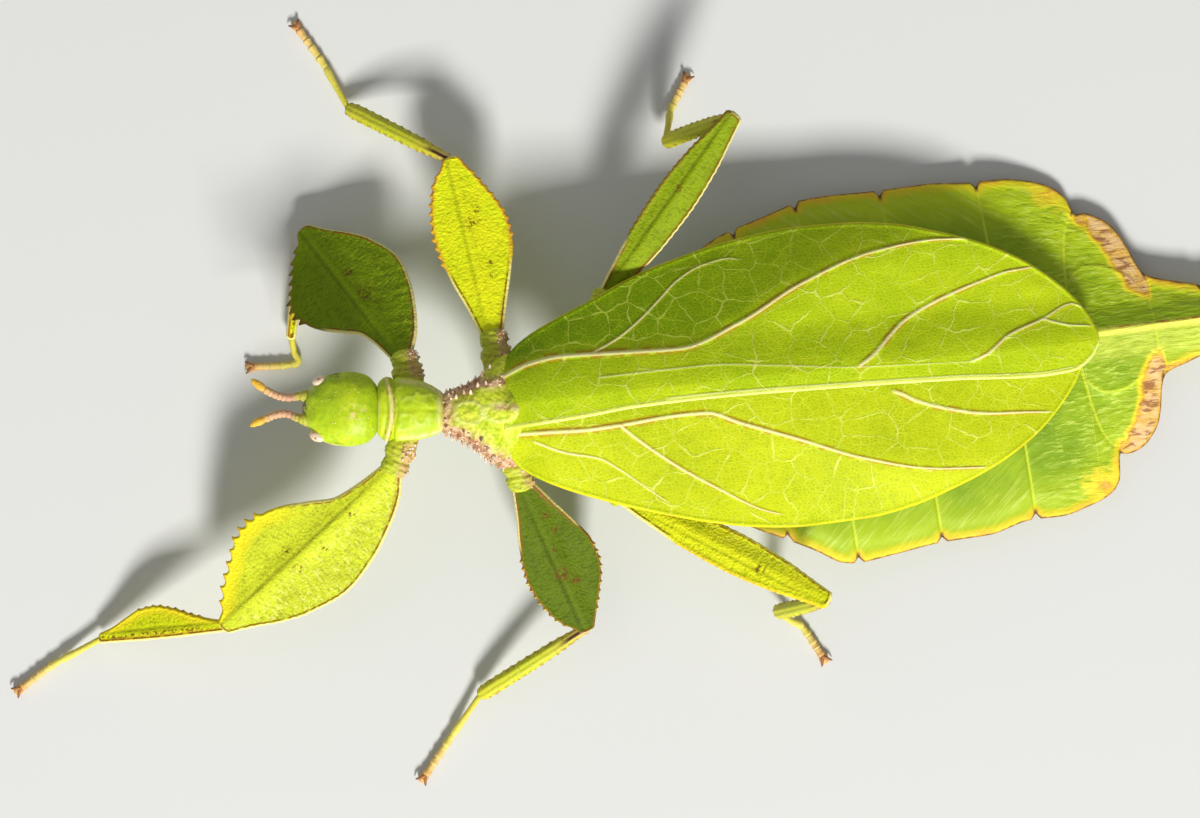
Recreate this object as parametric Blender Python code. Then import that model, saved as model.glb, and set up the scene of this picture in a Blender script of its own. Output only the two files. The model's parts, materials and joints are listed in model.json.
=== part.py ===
"""Leaf insect, a still life-size model of an adult female standing on level ground.

The head points along -X and the insect's right side along +Y. The ground is z = 0.
Every size below is in millimetres and make_object() scales the finished mesh to metres.
"""

import math

import bmesh
import bpy
import numpy as np
from mathutils import Vector
from mathutils.geometry import delaunay_2d_cdt

# Driving dimensions, in millimetres
METRES_PER_MM = 0.001
ORIGIN_X = 2.76
ORIGIN_Y = 0.6
JOINT_GAP = 0.32
BLADE_EDGE = 0.5
SLIVER = 6e-6

# The back: the abdomen's own axis starts between the wing roots and turns to the right
BACK_START = (-8.0, 0.34)
BACK_TURN = math.radians(7.3)
BACK_SKEW = 0.05
RIDGE_START_Z = 11.9
RIDGE_FALL = 0.2
RIDGE_LEVELLING = 0.00096
CROWN_RADIUS = 1.5
RIGHT_SLOPE = 0.33
LEFT_SLOPE = 0.2
SLOPE_FADE = [(0, 1.0), (30, 1.0), (50, 0.62), (66, 0.5)]

# The abdomen: where each segment ends along the axis, and its reach to either side
ABDOMEN_FRONT = 8.3
SEGMENT_ENDS = [15.0, 21.9, 27.7, 35.25, 43.7, 52.0]
ABDOMEN_REAR = 56.6
TAIL_SEGMENT = 61.4
TIP_END = 66.0
ABDOMEN_STEP = 2.6
TIP_STEP = 1.3
REACH_RIGHT = [(8.3, 3.4), (11, 4.9), (15, 8.6), (20.6, 12.2), (24.9, 13.5), (28.1, 14.4), (34.6, 14.6),
               (39.3, 14.5), (43.2, 14.2), (47.7, 13.9), (50.3, 13.0), (51.4, 11.9), (51.9, 10.2),
               (53.9, 9.8), (55.2, 8.4), (56.0, 6.2), (56.6, 4.2)]
REACH_LEFT = [(8.3, 3.4), (11, 5.2), (15, 9.4), (18.4, 12.8), (21.7, 14.6), (24.2, 16.0), (26.3, 17.4),
              (31.3, 17.1), (35.0, 16.7), (39.3, 16.5), (43.5, 15.7), (45.8, 15.6), (48.6, 15.0),
              (51.0, 14.1), (51.7, 12.9), (52.0, 10.9), (53.3, 10.9), (55.0, 9.8), (56.0, 8.0), (56.6, 5.0)]
TIP_REACH = [(56.9, 4.2), (59.4, 3.4), (61.5, 2.8), (63.6, 2.3), (65.0, 1.6), (65.8, 0.8), (66.0, 0.5)]
NOTCH_DEPTH = 0.45
NOTCH_LENGTH = 0.5
PLATE_STEP = 0.16
BELLY_DEPTH = [(8.3, 3.6), (20, 4.5), (36, 4.4), (50, 3.9), (54, 3.2), (57, 2.0), (66, 0.5)]
BELLY_WIDTH = [(8.3, 3.3), (15, 5.2), (24, 6.6), (44, 6.2), (52, 4.6), (57, 3.6), (66, 1.4)]
MARGIN_THICKNESS = 0.6

# The forewings: one frame for both, the right one lying over the left one's inner strip
WING_START = (-8.42, 0.34)
WING_TURN = math.radians(6.2)
WING_THICKNESS = 0.5
WING_STEP = 1.8
WING_CLEARANCE = 0.62
WING_ARCH = [(0, 0.95), (10, 1.6), (20, 1.9), (30, 1.6), (45, 0.9), (52, 0.45)]
WING_OVERLAP_LIFT = 0.86
WING_INNER_SLOPE = 0.1
FOLD_RIGHT = [(0, 2.3), (5.4, 3.4), (15.6, 3.1), (21, 4.8), (26.5, 7.5), (32.9, 9.6), (38.3, 10.1), (52, 9.0)]
FOLD_LEFT = [(0, 2.4), (7.3, 2.9), (17.2, 2.5), (20, 3.7), (25, 5.7), (30.1, 7.8), (36.1, 9.4), (52, 9.0)]
STEEP_RIGHT = [(0, 0.6), (14, 0.48), (20, 0.5), (30, 0.66), (44, 0.45), (52, 0.25)]
STEEP_LEFT = [(0, 0.35), (10, 0.2), (17, 0.17), (30, 0.42), (44, 0.4), (52, 0.25)]
WING_RIGHT_OUTER = [(0.15, 2.4), (1.2, 4.3), (2.6, 5.4), (5.0, 6.6), (8.8, 8.2), (12, 9.6), (15, 10.6),
                    (20.6, 11.9), (27, 12.6), (31, 12.5), (35, 12.0), (38.6, 11.0), (42.2, 9.7), (45.7, 7.9),
                    (48.2, 6.0), (50.0, 4.2), (51.2, 2.4), (51.8, 0.8)]
WING_RIGHT_INNER = [(0.15, -2.2), (7.4, -1.8), (11.3, -1.5), (16.9, -1.4), (29.1, -1.7), (38.8, -2.1),
                    (46.5, -2.6), (49.3, -2.4), (51.0, -1.4), (51.8, -0.2)]
WING_LEFT_OUTER = [(0.15, -3.0), (0.4, -4.4), (1.0, -5.4), (2.3, -6.4), (4.5, -7.6), (8.3, -9.2),
                   (12.3, -10.6), (16.3, -11.8), (20.4, -12.7), (25, -13.2), (30.3, -13.1), (34.2, -12.5),
                   (38.1, -11.3), (41.6, -9.9), (44.9, -8.0), (47.4, -5.9), (49.6, -3.2), (50.4, -1.6)]
WING_LEFT_INNER = [(0.15, -2.5), (3.0, -1.1), (8.0, -0.4), (29, -0.5), (44, -0.9), (49, -0.9), (50.4, -1.3)]
VEIN_HEIGHT = 0.3
VEIN_HALF_WIDTH = 0.5
VEINS_RIGHT = {
    "radius": [(0.6, 2.3), (2.9, 3.2), (5.4, 3.5), (10.5, 3.3), (15.6, 3.1), (21.0, 4.8), (26.5, 7.5),
               (32.9, 9.6), (38.3, 10.1), (40.8, 9.9)],
    "media": [(0.8, 0.6), (8.6, 1.4), (17.2, 1.4), (30.6, -0.2), (35.1, 3.5), (38.3, 4.9), (42.5, 6.2),
              (46.2, 6.6)],
    "cubitus": [(30.6, -0.2), (40.3, -0.7), (44.0, 1.3), (47.1, 2.4), (49.6, 3.3)],
    "cubitus_fork": [(47.1, 2.4), (49.3, 1.6), (50.9, 1.2)],
    "costal": [(8.5, 3.4), (12.5, 5.6), (16.0, 8.3), (18.2, 10.2)],
    "costal_inner": [(2.9, 3.2), (8.0, 5.6), (11.0, 7.6)],
}
VEINS_LEFT = {
    "radius": [(0.6, -2.6), (4.2, -2.8), (9.8, -2.8), (17.2, -2.6), (20.0, -3.7), (25.0, -5.7), (30.1, -7.8),
               (36.1, -9.4), (40.4, -9.8)],
    "media": [(17.2, -2.6), (30.0, -2.4), (35.2, -3.4), (37.7, -4.3), (41.3, -5.2), (46.2, -5.6)],
    "cubitus": [(30.0, -2.4), (40.0, -2.9), (47.5, -3.4)],
    "costal": [(9.8, -2.8), (11.7, -4.9), (14.6, -7.1), (17.8, -9.2), (22.0, -11.8)],
    "costal_inner": [(0.6, -2.6), (7.8, -5.4), (9.4, -6.7), (13.3, -10.1)],
}

# Head and thorax: stations of (x, middle y, half width, top z, bottom z)
HEAD = [(-24.9, 0.0, 1.3, 12.7, 11.2), (-24.5, 0.0, 2.1, 13.4, 10.6), (-23.6, 0.0, 2.75, 14.0, 10.1),
        (-22.3, 0.0, 3.1, 14.45, 9.8), (-20.9, 0.0, 3.15, 14.6, 9.8), (-19.7, 0.0, 2.9, 14.45, 10.0),
        (-19.0, 0.0, 2.35, 14.0, 10.4), (-18.75, 0.0, 1.6, 13.4, 11.0)]
PRONOTUM = [(-18.55, 0.0, 2.2, 13.5, 10.6), (-18.3, 0.0, 2.6, 13.8, 10.1), (-17.7, 0.0, 2.65, 13.9, 9.8),
            (-17.45, 0.0, 2.45, 13.6, 9.7), (-17.1, 0.0, 2.7, 13.9, 9.5), (-15.6, -0.05, 2.55, 14.1, 9.3),
            (-14.3, -0.15, 2.15, 13.9, 9.3), (-13.5, -0.2, 1.75, 13.5, 9.6), (-13.1, -0.2, 1.2, 13.0, 10.2)]
MESOTHORAX = [(-13.4, -0.3, 1.0, 12.7, 10.3), (-12.9, -0.3, 1.7, 13.2, 9.6), (-11.6, -0.35, 2.2, 13.6, 9.0),
              (-10.4, -0.4, 3.0, 13.7, 8.7), (-9.4, -0.3, 3.9, 13.6, 8.5), (-8.75, -0.2, 4.4, 13.3, 8.4),
              (-8.4, -0.1, 4.6, 12.4, 8.4), (-7.2, 0.0, 4.8, 12.0, 8.3), (-6.3, 0.1, 4.4, 11.8, 8.4)]
METATHORAX = [(-6.0, 0.2, 3.9, 11.8, 8.3), (-4.0, 0.4, 3.5, 11.4, 7.7), (-2.0, 0.6, 3.7, 10.9, 7.1),
              (-0.9, 0.8, 3.9, 10.5, 6.9), (-0.2, 0.9, 3.6, 10.2, 6.9)]

# Side spines: place along the thorax, how far they stand out and how high they start; then their base
SIDE_SPINES = [(-12.5, 0.42, 0.3), (-11.6, 0.5, 0.4), (-10.8, 0.55, 0.6), (-10.0, 0.5, 0.9),
               (-9.3, 0.5, 1.25)]
SPINE_BASE = 0.3
SPINE_ROOT = 0.25
SPINE_LEAN = 0.12
SPINE_RISE = 0.4

EYE_CENTRES = {"right": (-23.75, 2.55, 12.75), "left": (-24.0, -2.45, 12.75)}
EYE_RADII = (0.62, 0.46, 0.55)
EYE_TURN = math.radians(20)
EYE_GRID = (14, 10)
ANTENNA_RIGHT = [(-24.3, 1.05, 12.5, 0.5), (-25.2, 1.1, 12.5, 0.44), (-26.2, 0.95, 12.5, 0.34),
                 (-27.2, 1.15, 12.6, 0.33), (-28.1, 1.6, 12.7, 0.32), (-28.8, 2.1, 12.8, 0.3),
                 (-29.3, 2.5, 12.85, 0.16)]
ANTENNA_LEFT = [(-24.5, -0.85, 12.5, 0.5), (-25.4, -0.75, 12.5, 0.44), (-26.4, -0.4, 12.5, 0.34),
                (-27.3, -0.5, 12.6, 0.33), (-28.2, -0.85, 12.7, 0.33), (-28.9, -1.15, 12.8, 0.31),
                (-29.4, -1.45, 12.85, 0.16)]
PALP = [(-24.0, 0.95, 10.7, 0.34), (-24.6, 1.15, 10.1, 0.31), (-25.0, 1.2, 9.5, 0.3),
        (-25.05, 1.15, 8.8, 0.27), (-24.9, 1.1, 8.3, 0.16)]
MOUTH = [(-25.15, 0.0, 0.7, 11.4, 10.7), (-24.9, 0.0, 1.15, 11.6, 10.1), (-24.3, 0.0, 1.35, 11.6, 9.4),
         (-23.6, 0.0, 1.3, 11.4, 9.1), (-23.1, 0.0, 0.9, 11.0, 9.2)]
CERCUS = [(61.8, 0.75, 0.36), (63.0, 0.95, 0.45), (64.2, 1.05, 0.42), (65.4, 1.05, 0.2)]

# Leaf-like lobes: reach in front of and behind the leg's own axis, along its length from 0 to 1
FORE_LOBE = {"front": [(0, 0.9), (0.12, 1.1), (0.26, 1.6), (0.36, 2.9), (0.45, 4.1), (0.53, 4.8),
                       (0.62, 5.1), (0.7, 4.8), (0.79, 3.7), (0.9, 2.3), (0.96, 1.2), (1, 0.8)],
             "rear": [(0, 1.0), (0.07, 2.2), (0.185, 3.4), (0.34, 4.5), (0.495, 5.0), (0.7, 4.1),
                      (0.815, 3.0), (0.917, 1.7), (1, 0.8)],
             "front_teeth": (0.56, 0.95, 8, 0.55), "rear_teeth": (0.5, 0.95, 8, 0.16), "rod": 0.8}
MID_LOBE = {"front": [(0, 0.9), (0.18, 1.6), (0.35, 2.4), (0.5, 2.85), (0.6, 3.0), (0.7, 2.85), (0.8, 2.5),
                      (0.9, 1.9), (0.96, 1.2), (1, 0.8)],
            "rear": [(0, 0.9), (0.18, 1.9), (0.36, 2.95), (0.5, 3.55), (0.6, 3.55), (0.7, 3.2), (0.82, 2.3),
                     (0.94, 1.3), (1, 0.8)],
            "front_teeth": (0.42, 0.95, 8, 0.34), "rear_teeth": (0.5, 0.93, 7, 0.28), "rod": 0.72}
HIND_LOBE = {"front": [(0, 0.7), (0.15, 1.15), (0.35, 1.6), (0.55, 1.75), (0.75, 1.5), (0.9, 1.05), (1, 0.8)],
             "rear": [(0, 0.7), (0.15, 1.2), (0.35, 1.65), (0.55, 1.8), (0.75, 1.55), (0.9, 1.1), (1, 0.8)],
             "front_teeth": (0.5, 0.92, 6, 0.16), "rear_teeth": (0.5, 0.92, 6, 0.16), "rod": 0.72}
FORE_SHIN = {"front": [(0, 0.5), (0.1, 0.75), (0.25, 1.3), (0.4, 2.0), (0.55, 2.35), (0.68, 2.15), (0.8, 1.5),
                       (0.92, 0.8), (1, 0.5)],
             "rear": [(0, 0.5), (0.5, 0.6), (1, 0.5)],
             "front_teeth": (0.25, 0.75, 4, 0.14), "rear_teeth": (0.25, 0.75, 4, 0.0), "rod": 0.5}
SHIN_RADII = [(0, 0.5), (0.15, 0.5), (0.5, 0.62), (0.9, 0.6), (1, 0.52)]
SHIN_BOW = 0.35
STATION_GAP = 0.012
HIP_RADII = [(0, 1.2), (0.45, 1.104), (0.7, 1.2), (1, 0.85)]

# Legs: hip root on the thorax, thigh start, knee, ankle, bend of the foot and its tip
LEGS = {
    "fore_left": {"points": [(-15.9, -0.6, 11.2), (-17.4, -5.0, 10.8), (-32.3, -18.7, 6.2),
                             (-43.7, -20.1, 1.2), (-48.3, -22.6, 0.5), (-51.0, -24.6, 0.42)],
                  "lobe": FORE_LOBE, "shin": FORE_SHIN, "roll": 4},
    "fore_right": {"points": [(-15.7, 0.4, 11.2), (-16.6, 4.3, 10.6), (-25.8, 15.5, 2.3),
                              (-27.1, 6.4, 1.2), (-26.8, 4.0, 0.5), (-30.5, 3.7, 0.42)],
                   "lobe": FORE_LOBE, "shin": FORE_SHIN, "roll": 0},
    "mid_left": {"points": [(-8.2, -1.5, 10.3), (-6.7, -6.3, 9.2), (-1.2, -19.0, 4.2),
                            (-10.5, -25.1, 1.2), (-13.4, -29.3, 0.5), (-15.4, -32.3, 0.42)],
                 "lobe": MID_LOBE, "shin": None, "roll": 0},
    "mid_right": {"points": [(-8.3, 1.5, 10.3), (-9.1, 6.1, 9.2), (-12.8, 21.4, 6.5),
                             (-22.1, 26.4, 1.2), (-24.5, 30.6, 0.5), (-26.6, 33.5, 0.42)],
                  "lobe": MID_LOBE, "shin": None, "roll": 0},
    "hind_left": {"points": [(-2.8, -1.0, 9.0), (1.7, -7.4, 6.6), (19.2, -16.2, 10.8),
                             (15.5, -17.8, 2.0), (17.9, -19.3, 0.5), (19.6, -21.8, 0.42)],
                  "lobe": HIND_LOBE, "shin": None, "roll": 10},
    "hind_right": {"points": [(-2.2, 1.8, 9.0), (0.4, 9.6, 7.0), (11.3, 24.8, 10.8),
                              (5.7, 23.4, 2.0), (6.3, 26.5, 0.5), (7.5, 28.9, 0.42)],
                   "lobe": HIND_LOBE, "shin": None, "roll": 10},
}
FOOT_RADII = [(0, 0.36), (0.25, 0.34), (0.48, 0.4), (0.52, 0.3), (0.62, 0.38), (0.66, 0.3), (0.76, 0.38),
              (0.8, 0.3), (0.97, 0.42), (1, 0.3)]
CLAW_LENGTH = 1.15
CLAW_RADIUS = 0.22
CLAW_SPREAD = math.radians(36)
PAD_RADII = (0.5, 0.42, 0.34)
PAD_AHEAD = 0.25
PAD_SINK = 0.1
PAD_GRID = (8, 6)

COLOURS = {
    "body_green": ((0.30, 0.50, 0.03), 0.45), "wing_green": ((0.33, 0.55, 0.03), 0.4),
    "lobe_green": ((0.36, 0.54, 0.03), 0.45), "shin_yellow": ((0.48, 0.48, 0.04), 0.5),
    "foot_tan": ((0.58, 0.33, 0.12), 0.55), "hip_tan": ((0.45, 0.34, 0.10), 0.6),
    "eye_pale": ((0.72, 0.55, 0.42), 0.2), "antenna_tan": ((0.55, 0.32, 0.12), 0.6),
}


def clear_scene():
    for obj in list(bpy.data.objects):
        bpy.data.objects.remove(obj, do_unlink=True)


def material(name):
    """The named material, made on first use."""
    found = bpy.data.materials.get(name)
    if found:
        return found
    colour, roughness = COLOURS[name]
    made = bpy.data.materials.new(name)
    made.use_nodes = True
    shader = made.node_tree.nodes["Principled BSDF"]
    shader.inputs["Base Color"].default_value = (*colour, 1.0)
    shader.inputs["Roughness"].default_value = roughness
    shader.inputs["Metallic"].default_value = 0.0
    return made


def value(stations, at):
    """Smooth value through (station, value) pairs, without overshoot."""
    xs = [x for x, _ in stations]
    ys = [y for _, y in stations]
    if at <= xs[0]:
        return ys[0]
    if at >= xs[-1]:
        return ys[-1]
    rise = [(b - a) / (d - c) for a, b, c, d in zip(ys, ys[1:], xs, xs[1:])]
    inner = [0 if a * b <= 0 else 2 * a * b / (a + b) for a, b in zip(rise, rise[1:])]
    slope = [rise[0], *inner, rise[-1]]
    i = max(k for k, x in enumerate(xs[:-1]) if x <= at)
    width = xs[i + 1] - xs[i]
    u = (at - xs[i]) / width
    return ((2 * u**3 - 3 * u**2 + 1) * ys[i] + (u**3 - 2 * u**2 + u) * width * slope[i]
            + (3 * u**2 - 2 * u**3) * ys[i + 1] + (u**3 - u**2) * width * slope[i + 1])


def smoothstep(low, high, at):
    u = min(1.0, max(0.0, (at - low) / (high - low)))
    return u * u * (3 - 2 * u)


def make_object(name, points, faces, finish):
    """A node from points in millimetres, moved so that the origin is under the middle of the insect."""
    shift = Vector((ORIGIN_X, ORIGIN_Y, 0))
    mesh = bpy.data.meshes.new(name)
    mesh.from_pydata([(Vector(p) - shift) * METRES_PER_MM for p in points], [], faces)
    mesh.update()
    bm = bmesh.new()
    bm.from_mesh(mesh)
    bmesh.ops.recalc_face_normals(bm, faces=bm.faces)
    bm.to_mesh(mesh)
    bm.free()
    obj = bpy.data.objects.new(name, mesh)
    insect.objects.link(obj)
    obj.data.materials.append(material(finish))
    return obj


def loft(name, rings, finish):
    """A closed skin over rings of points, with a fan on each end."""
    count = len(rings[0])
    points = [p for ring in rings for p in ring]
    faces = []
    for k in range(len(rings) - 1):
        for i in range(count):
            a, b = k * count + i, k * count + (i + 1) % count
            faces += [(a, b, b + count), (a, b + count, a + count)]
    for ring, start in ((rings[0], 0), (rings[-1], (len(rings) - 1) * count)):
        points.append(sum((Vector(p) for p in ring), Vector()) / count)
        faces += [(len(points) - 1, start + i, start + (i + 1) % count) for i in range(count)]
    return make_object(name, points, faces, finish)


def plate(name, top, bottom, finish):
    """A thin solid between two grids of points, split into triangles alike on both faces."""
    rows, columns = len(top), len(top[0])
    points = [p for row in top for p in row] + [p for row in bottom for p in row]
    under = rows * columns
    faces = []
    for i in range(rows - 1):
        for j in range(columns - 1):
            a, b = i * columns + j, (i + 1) * columns + j
            c, d = b + 1, a + 1
            faces += [(a, b, c), (a, c, d)]
            faces += [(under + a, under + c, under + b), (under + a, under + d, under + c)]
    rim = ([(i * columns, (i + 1) * columns) for i in range(rows - 1)]
           + [((rows - 1) * columns + j, (rows - 1) * columns + j + 1) for j in range(columns - 1)]
           + [(i * columns - 1, (i - 1) * columns - 1) for i in range(rows, 1, -1)]
           + [(j + 1, j) for j in range(columns - 2, -1, -1)])
    for a, b in rim:
        faces += [(b, a, under + a), (b, under + a, under + b)]
    return make_object(name, points, faces, finish)


def tube(name, path, finish, resolution=2):
    """A round limb through (x, y, z, radius) points, from a bevelled curve with its caps welded on."""
    curve = bpy.data.curves.new(name, "CURVE")
    curve.dimensions = "3D"
    curve.bevel_depth = METRES_PER_MM
    curve.bevel_resolution = resolution
    curve.use_fill_caps = True
    spline = curve.splines.new("POLY")
    spline.points.add(len(path) - 1)
    for point, (x, y, z, radius) in zip(spline.points, path):
        point.co = ((x - ORIGIN_X) * METRES_PER_MM, (y - ORIGIN_Y) * METRES_PER_MM, z * METRES_PER_MM, 1)
        point.radius = radius
    guide = bpy.data.objects.new(name + "_guide", curve)
    insect.objects.link(guide)
    mesh = bpy.data.meshes.new_from_object(guide.evaluated_get(bpy.context.evaluated_depsgraph_get()))
    bpy.data.objects.remove(guide)
    bm = bmesh.new()
    bm.from_mesh(mesh)
    bmesh.ops.remove_doubles(bm, verts=bm.verts, dist=1e-7)
    bmesh.ops.triangulate(bm, faces=bm.faces)
    bmesh.ops.recalc_face_normals(bm, faces=bm.faces)
    bm.to_mesh(mesh)
    bm.free()
    obj = bpy.data.objects.new(name, mesh)
    insect.objects.link(obj)
    obj.data.materials.clear()
    obj.data.materials.append(material(finish))
    return obj


def ball(name, centre, radii, turn, finish, segments=12, rings=8):
    """A rounded piece from a sphere, stretched to its radii and turned about the vertical."""
    bm = bmesh.new()
    bmesh.ops.create_uvsphere(bm, u_segments=segments, v_segments=rings, radius=1.0)
    cos_t, sin_t = math.cos(turn), math.sin(turn)
    points = []
    for vert in bm.verts:
        x, y, z = (c * r for c, r in zip(vert.co, radii))
        points.append((centre[0] + x * cos_t - y * sin_t, centre[1] + x * sin_t + y * cos_t, centre[2] + z))
    faces = [[v.index for v in face.verts] for face in bm.faces]
    bm.free()
    return make_object(name, points, faces, finish)


def cone(name, base, tip, radius, finish, sides=5):
    """A spine from its base to its tip."""
    base, tip = Vector(base), Vector(tip)
    along = (tip - base).normalized()
    side = along.orthogonal().normalized()
    other = along.cross(side)
    ring = [base + (side * math.cos(k * math.tau / sides) + other * math.sin(k * math.tau / sides)) * radius
            for k in range(sides)]
    points = ring + [tip, base - along * radius * 0.5]
    faces = [(i, (i + 1) % sides, sides) for i in range(sides)]
    faces += [((i + 1) % sides, i, sides + 1) for i in range(sides)]
    return make_object(name, points, faces, finish)


def keep_largest(obj):
    """Drops every closed surface but the largest, and faces too thin to matter."""
    bm = bmesh.new()
    bm.from_mesh(obj.data)
    bmesh.ops.remove_doubles(bm, verts=bm.verts, dist=SLIVER)
    bmesh.ops.dissolve_degenerate(bm, edges=bm.edges, dist=SLIVER)
    left = set(bm.verts)
    groups = []
    while left:
        stack = [left.pop()]
        group = set(stack)
        while stack:
            for edge in stack.pop().link_edges:
                for vert in edge.verts:
                    if vert in left:
                        left.remove(vert)
                        group.add(vert)
                        stack.append(vert)
        groups.append(group)
    largest = max(groups, key=len)
    bmesh.ops.delete(bm, geom=[v for v in bm.verts if v not in largest], context="VERTS")
    bmesh.ops.triangulate(bm, faces=bm.faces)
    bm.to_mesh(obj.data)
    bm.free()


def combine(obj, others, operation):
    """One Boolean on a collection of the others, applied; the others are removed."""
    group = bpy.data.collections.new(obj.name + "_pieces")
    for other in others:
        insect.objects.unlink(other)
        group.objects.link(other)
    modifier = obj.modifiers.new(operation.lower(), "BOOLEAN")
    modifier.operation = operation
    modifier.operand_type = "COLLECTION"
    modifier.collection = group
    modifier.solver = "MANIFOLD"
    bpy.context.view_layer.update()
    made = bpy.data.meshes.new_from_object(obj.evaluated_get(bpy.context.evaluated_depsgraph_get()))
    finish = obj.data.materials[0]
    obj.modifiers.clear()
    obj.data = made
    made.materials.clear()
    made.materials.append(finish)
    for polygon in made.polygons:
        polygon.material_index = 0
    for other in others:
        bpy.data.objects.remove(other)
    bpy.data.collections.remove(group)
    keep_largest(obj)
    return obj


def grown(obj, gap):
    """A copy of a node with its surface moved out by the gap, to cut a neighbour clear of it."""
    copy = bpy.data.objects.new(obj.name + "_grown", obj.data.copy())
    insect.objects.link(copy)
    normals = [v.normal.copy() for v in copy.data.vertices]
    for vert, normal in zip(copy.data.vertices, normals):
        vert.co += normal * gap * METRES_PER_MM
    return copy


def cut_clear(obj, *neighbours, gap=JOINT_GAP):
    """Leaves the joint gap between a node and the nodes that it grows from."""
    return combine(obj, [grown(other, gap) for other in neighbours], "DIFFERENCE")


def rest_flat(obj):
    """Whatever would reach under the ground is flattened on to it."""
    for vert in obj.data.vertices:
        vert.co.z = max(vert.co.z, 0.0)
    obj.data.update()


def section_ring(x, middle, half_width, top, bottom, sides=18):
    """A rounded cross-section of the head or thorax, a little fuller than an ellipse."""
    centre_z, half_height = (top + bottom) / 2, (top - bottom) / 2
    ring = []
    for k in range(sides):
        angle = math.tau * k / sides
        c, s = math.cos(angle), math.sin(angle)
        ring.append((x, middle + half_width * math.copysign(abs(c) ** 0.86, c),
                     centre_z + half_height * math.copysign(abs(s) ** 0.86, s)))
    return ring


def back_to_world(s, t):
    """World x and y of a place on the abdomen: s along its axis, t to the insect's right."""
    s -= BACK_SKEW * t
    c, n = math.cos(BACK_TURN), math.sin(BACK_TURN)
    return BACK_START[0] + s * c - t * n, BACK_START[1] + s * n + t * c


def world_to_back(x, y):
    c, n = math.cos(BACK_TURN), math.sin(BACK_TURN)
    dx, dy = x - BACK_START[0], y - BACK_START[1]
    t = -dx * n + dy * c
    return dx * c + dy * n + BACK_SKEW * t, t


def ridge_z(s):
    return RIDGE_START_Z - RIDGE_FALL * s + RIDGE_LEVELLING * s * s


def back_z(s, t):
    """Height of the smooth back: a low roof either side of the ridge."""
    slope = (RIGHT_SLOPE if t > 0 else LEFT_SLOPE) * value(SLOPE_FADE, s)
    return ridge_z(s) - slope * (math.hypot(t, CROWN_RADIUS) - CROWN_RADIUS)


def abdomen_stations(front, rear, ends, spacing):
    """Stations along the axis, doubled where one segment's plate steps down to the next."""
    marks = [front, *ends, rear]
    found = []
    for start, end in zip(marks, marks[1:]):
        steps = max(2, round((end - start) / spacing))
        found += [start + (end - start) * k / steps for k in range(steps)]
        if end in ends:
            found += [end - NOTCH_LENGTH / 2]
    return sorted(found + [rear])


def notch(s):
    """Share of a notch at this station: 1 where two segments meet, 0 away from it."""
    return max(0.0, 1 - min(abs(s - end) for end in SEGMENT_ENDS[:-1]) / NOTCH_LENGTH)


def plate_lift(s):
    """Each segment's plate rises a little towards its rear edge."""
    marks = [ABDOMEN_FRONT, *SEGMENT_ENDS, ABDOMEN_REAR, TIP_END]
    start = max(m for m in marks if m <= s)
    end = min((m for m in marks if m > s), default=TIP_END + 1)
    return PLATE_STEP * (s - start) / (end - start)


def abdomen_solid(name, stations, reach_right, reach_left, finish):
    across = [-1, -0.86, -0.62, -0.4, -0.22, -0.1, 0, 0.1, 0.22, 0.4, 0.62, 0.86, 1]
    top, bottom = [], []
    for s in stations:
        cut = NOTCH_DEPTH * notch(s)
        width = {1: value(reach_right, s) - cut, -1: value(reach_left, s) - cut}
        upper, lower = [], []
        for v in across:
            t = v * width[1 if v > 0 else -1]
            x, y = back_to_world(s, t)
            z = back_z(s, t) + plate_lift(s)
            belly = max(0.0, 1 - (t / value(BELLY_WIDTH, s)) ** 2)
            depth = MARGIN_THICKNESS + (value(BELLY_DEPTH, s) - MARGIN_THICKNESS) * belly**0.8
            upper.append((x, y, z))
            lower.append((x, y, back_z(s, t) - depth))
        top.append(upper)
        bottom.append(lower)
    return plate(name, top, bottom, finish)


def wing_to_world(s, t):
    c, n = math.cos(WING_TURN), math.sin(WING_TURN)
    return WING_START[0] + s * c - t * n, WING_START[1] + s * n + t * c


def wing_z(s, t, side):
    """Middle height of a closed forewing: nearly flat inside its main vein, falling outside it."""
    x, y = wing_to_world(s, t)
    fold, steep = (FOLD_RIGHT, STEEP_RIGHT) if side == "right" else (FOLD_LEFT, STEEP_LEFT)
    away = max(0.0, t if side == "right" else -t)
    beyond = away - value(fold, s)
    soft = 0.5 * (beyond + math.hypot(beyond, 0.8))
    z = ridge_z(world_to_back(x, y)[0]) + WING_CLEARANCE + value(WING_ARCH, s)
    z -= WING_INNER_SLOPE * away + (value(steep, s) - WING_INNER_SLOPE) * soft
    if side == "right":
        z += WING_OVERLAP_LIFT * (1 - smoothstep(-0.2, 4.5, t))
    return z


def resample(points, spacing):
    """Points a steady distance apart on a smooth line through the given ones."""
    line = [Vector(p) for p in points]
    ends = [2 * line[0] - line[1], *line, 2 * line[-1] - line[-2]]
    fine = []
    for a, b, c, d in zip(ends, ends[1:], ends[2:], ends[3:]):
        for k in range(12):
            u = k / 12
            fine.append(0.5 * (2 * b + (c - a) * u + (2 * a - 5 * b + 4 * c - d) * u**2
                               + (3 * b - a - 3 * c + d) * u**3))
    fine.append(line[-1])
    length = [0.0]
    for a, b in zip(fine, fine[1:]):
        length.append(length[-1] + (b - a).length)
    count = max(2, round(length[-1] / spacing) + 1)
    wanted = [length[-1] * k / (count - 1) for k in range(count)]
    columns = [np.interp(wanted, length, [p[i] for p in fine]) for i in range(len(fine[0]))]
    return [Vector([float(part) for part in point]) for point in zip(*columns)]


def distance_to_line(p, line):
    best = math.inf
    for a, b in zip(line, line[1:]):
        step = b - a
        u = min(1.0, max(0.0, (p - a).dot(step) / max(step.length_squared, 1e-12)))
        best = min(best, (p - a - step * u).length)
    return best


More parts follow.
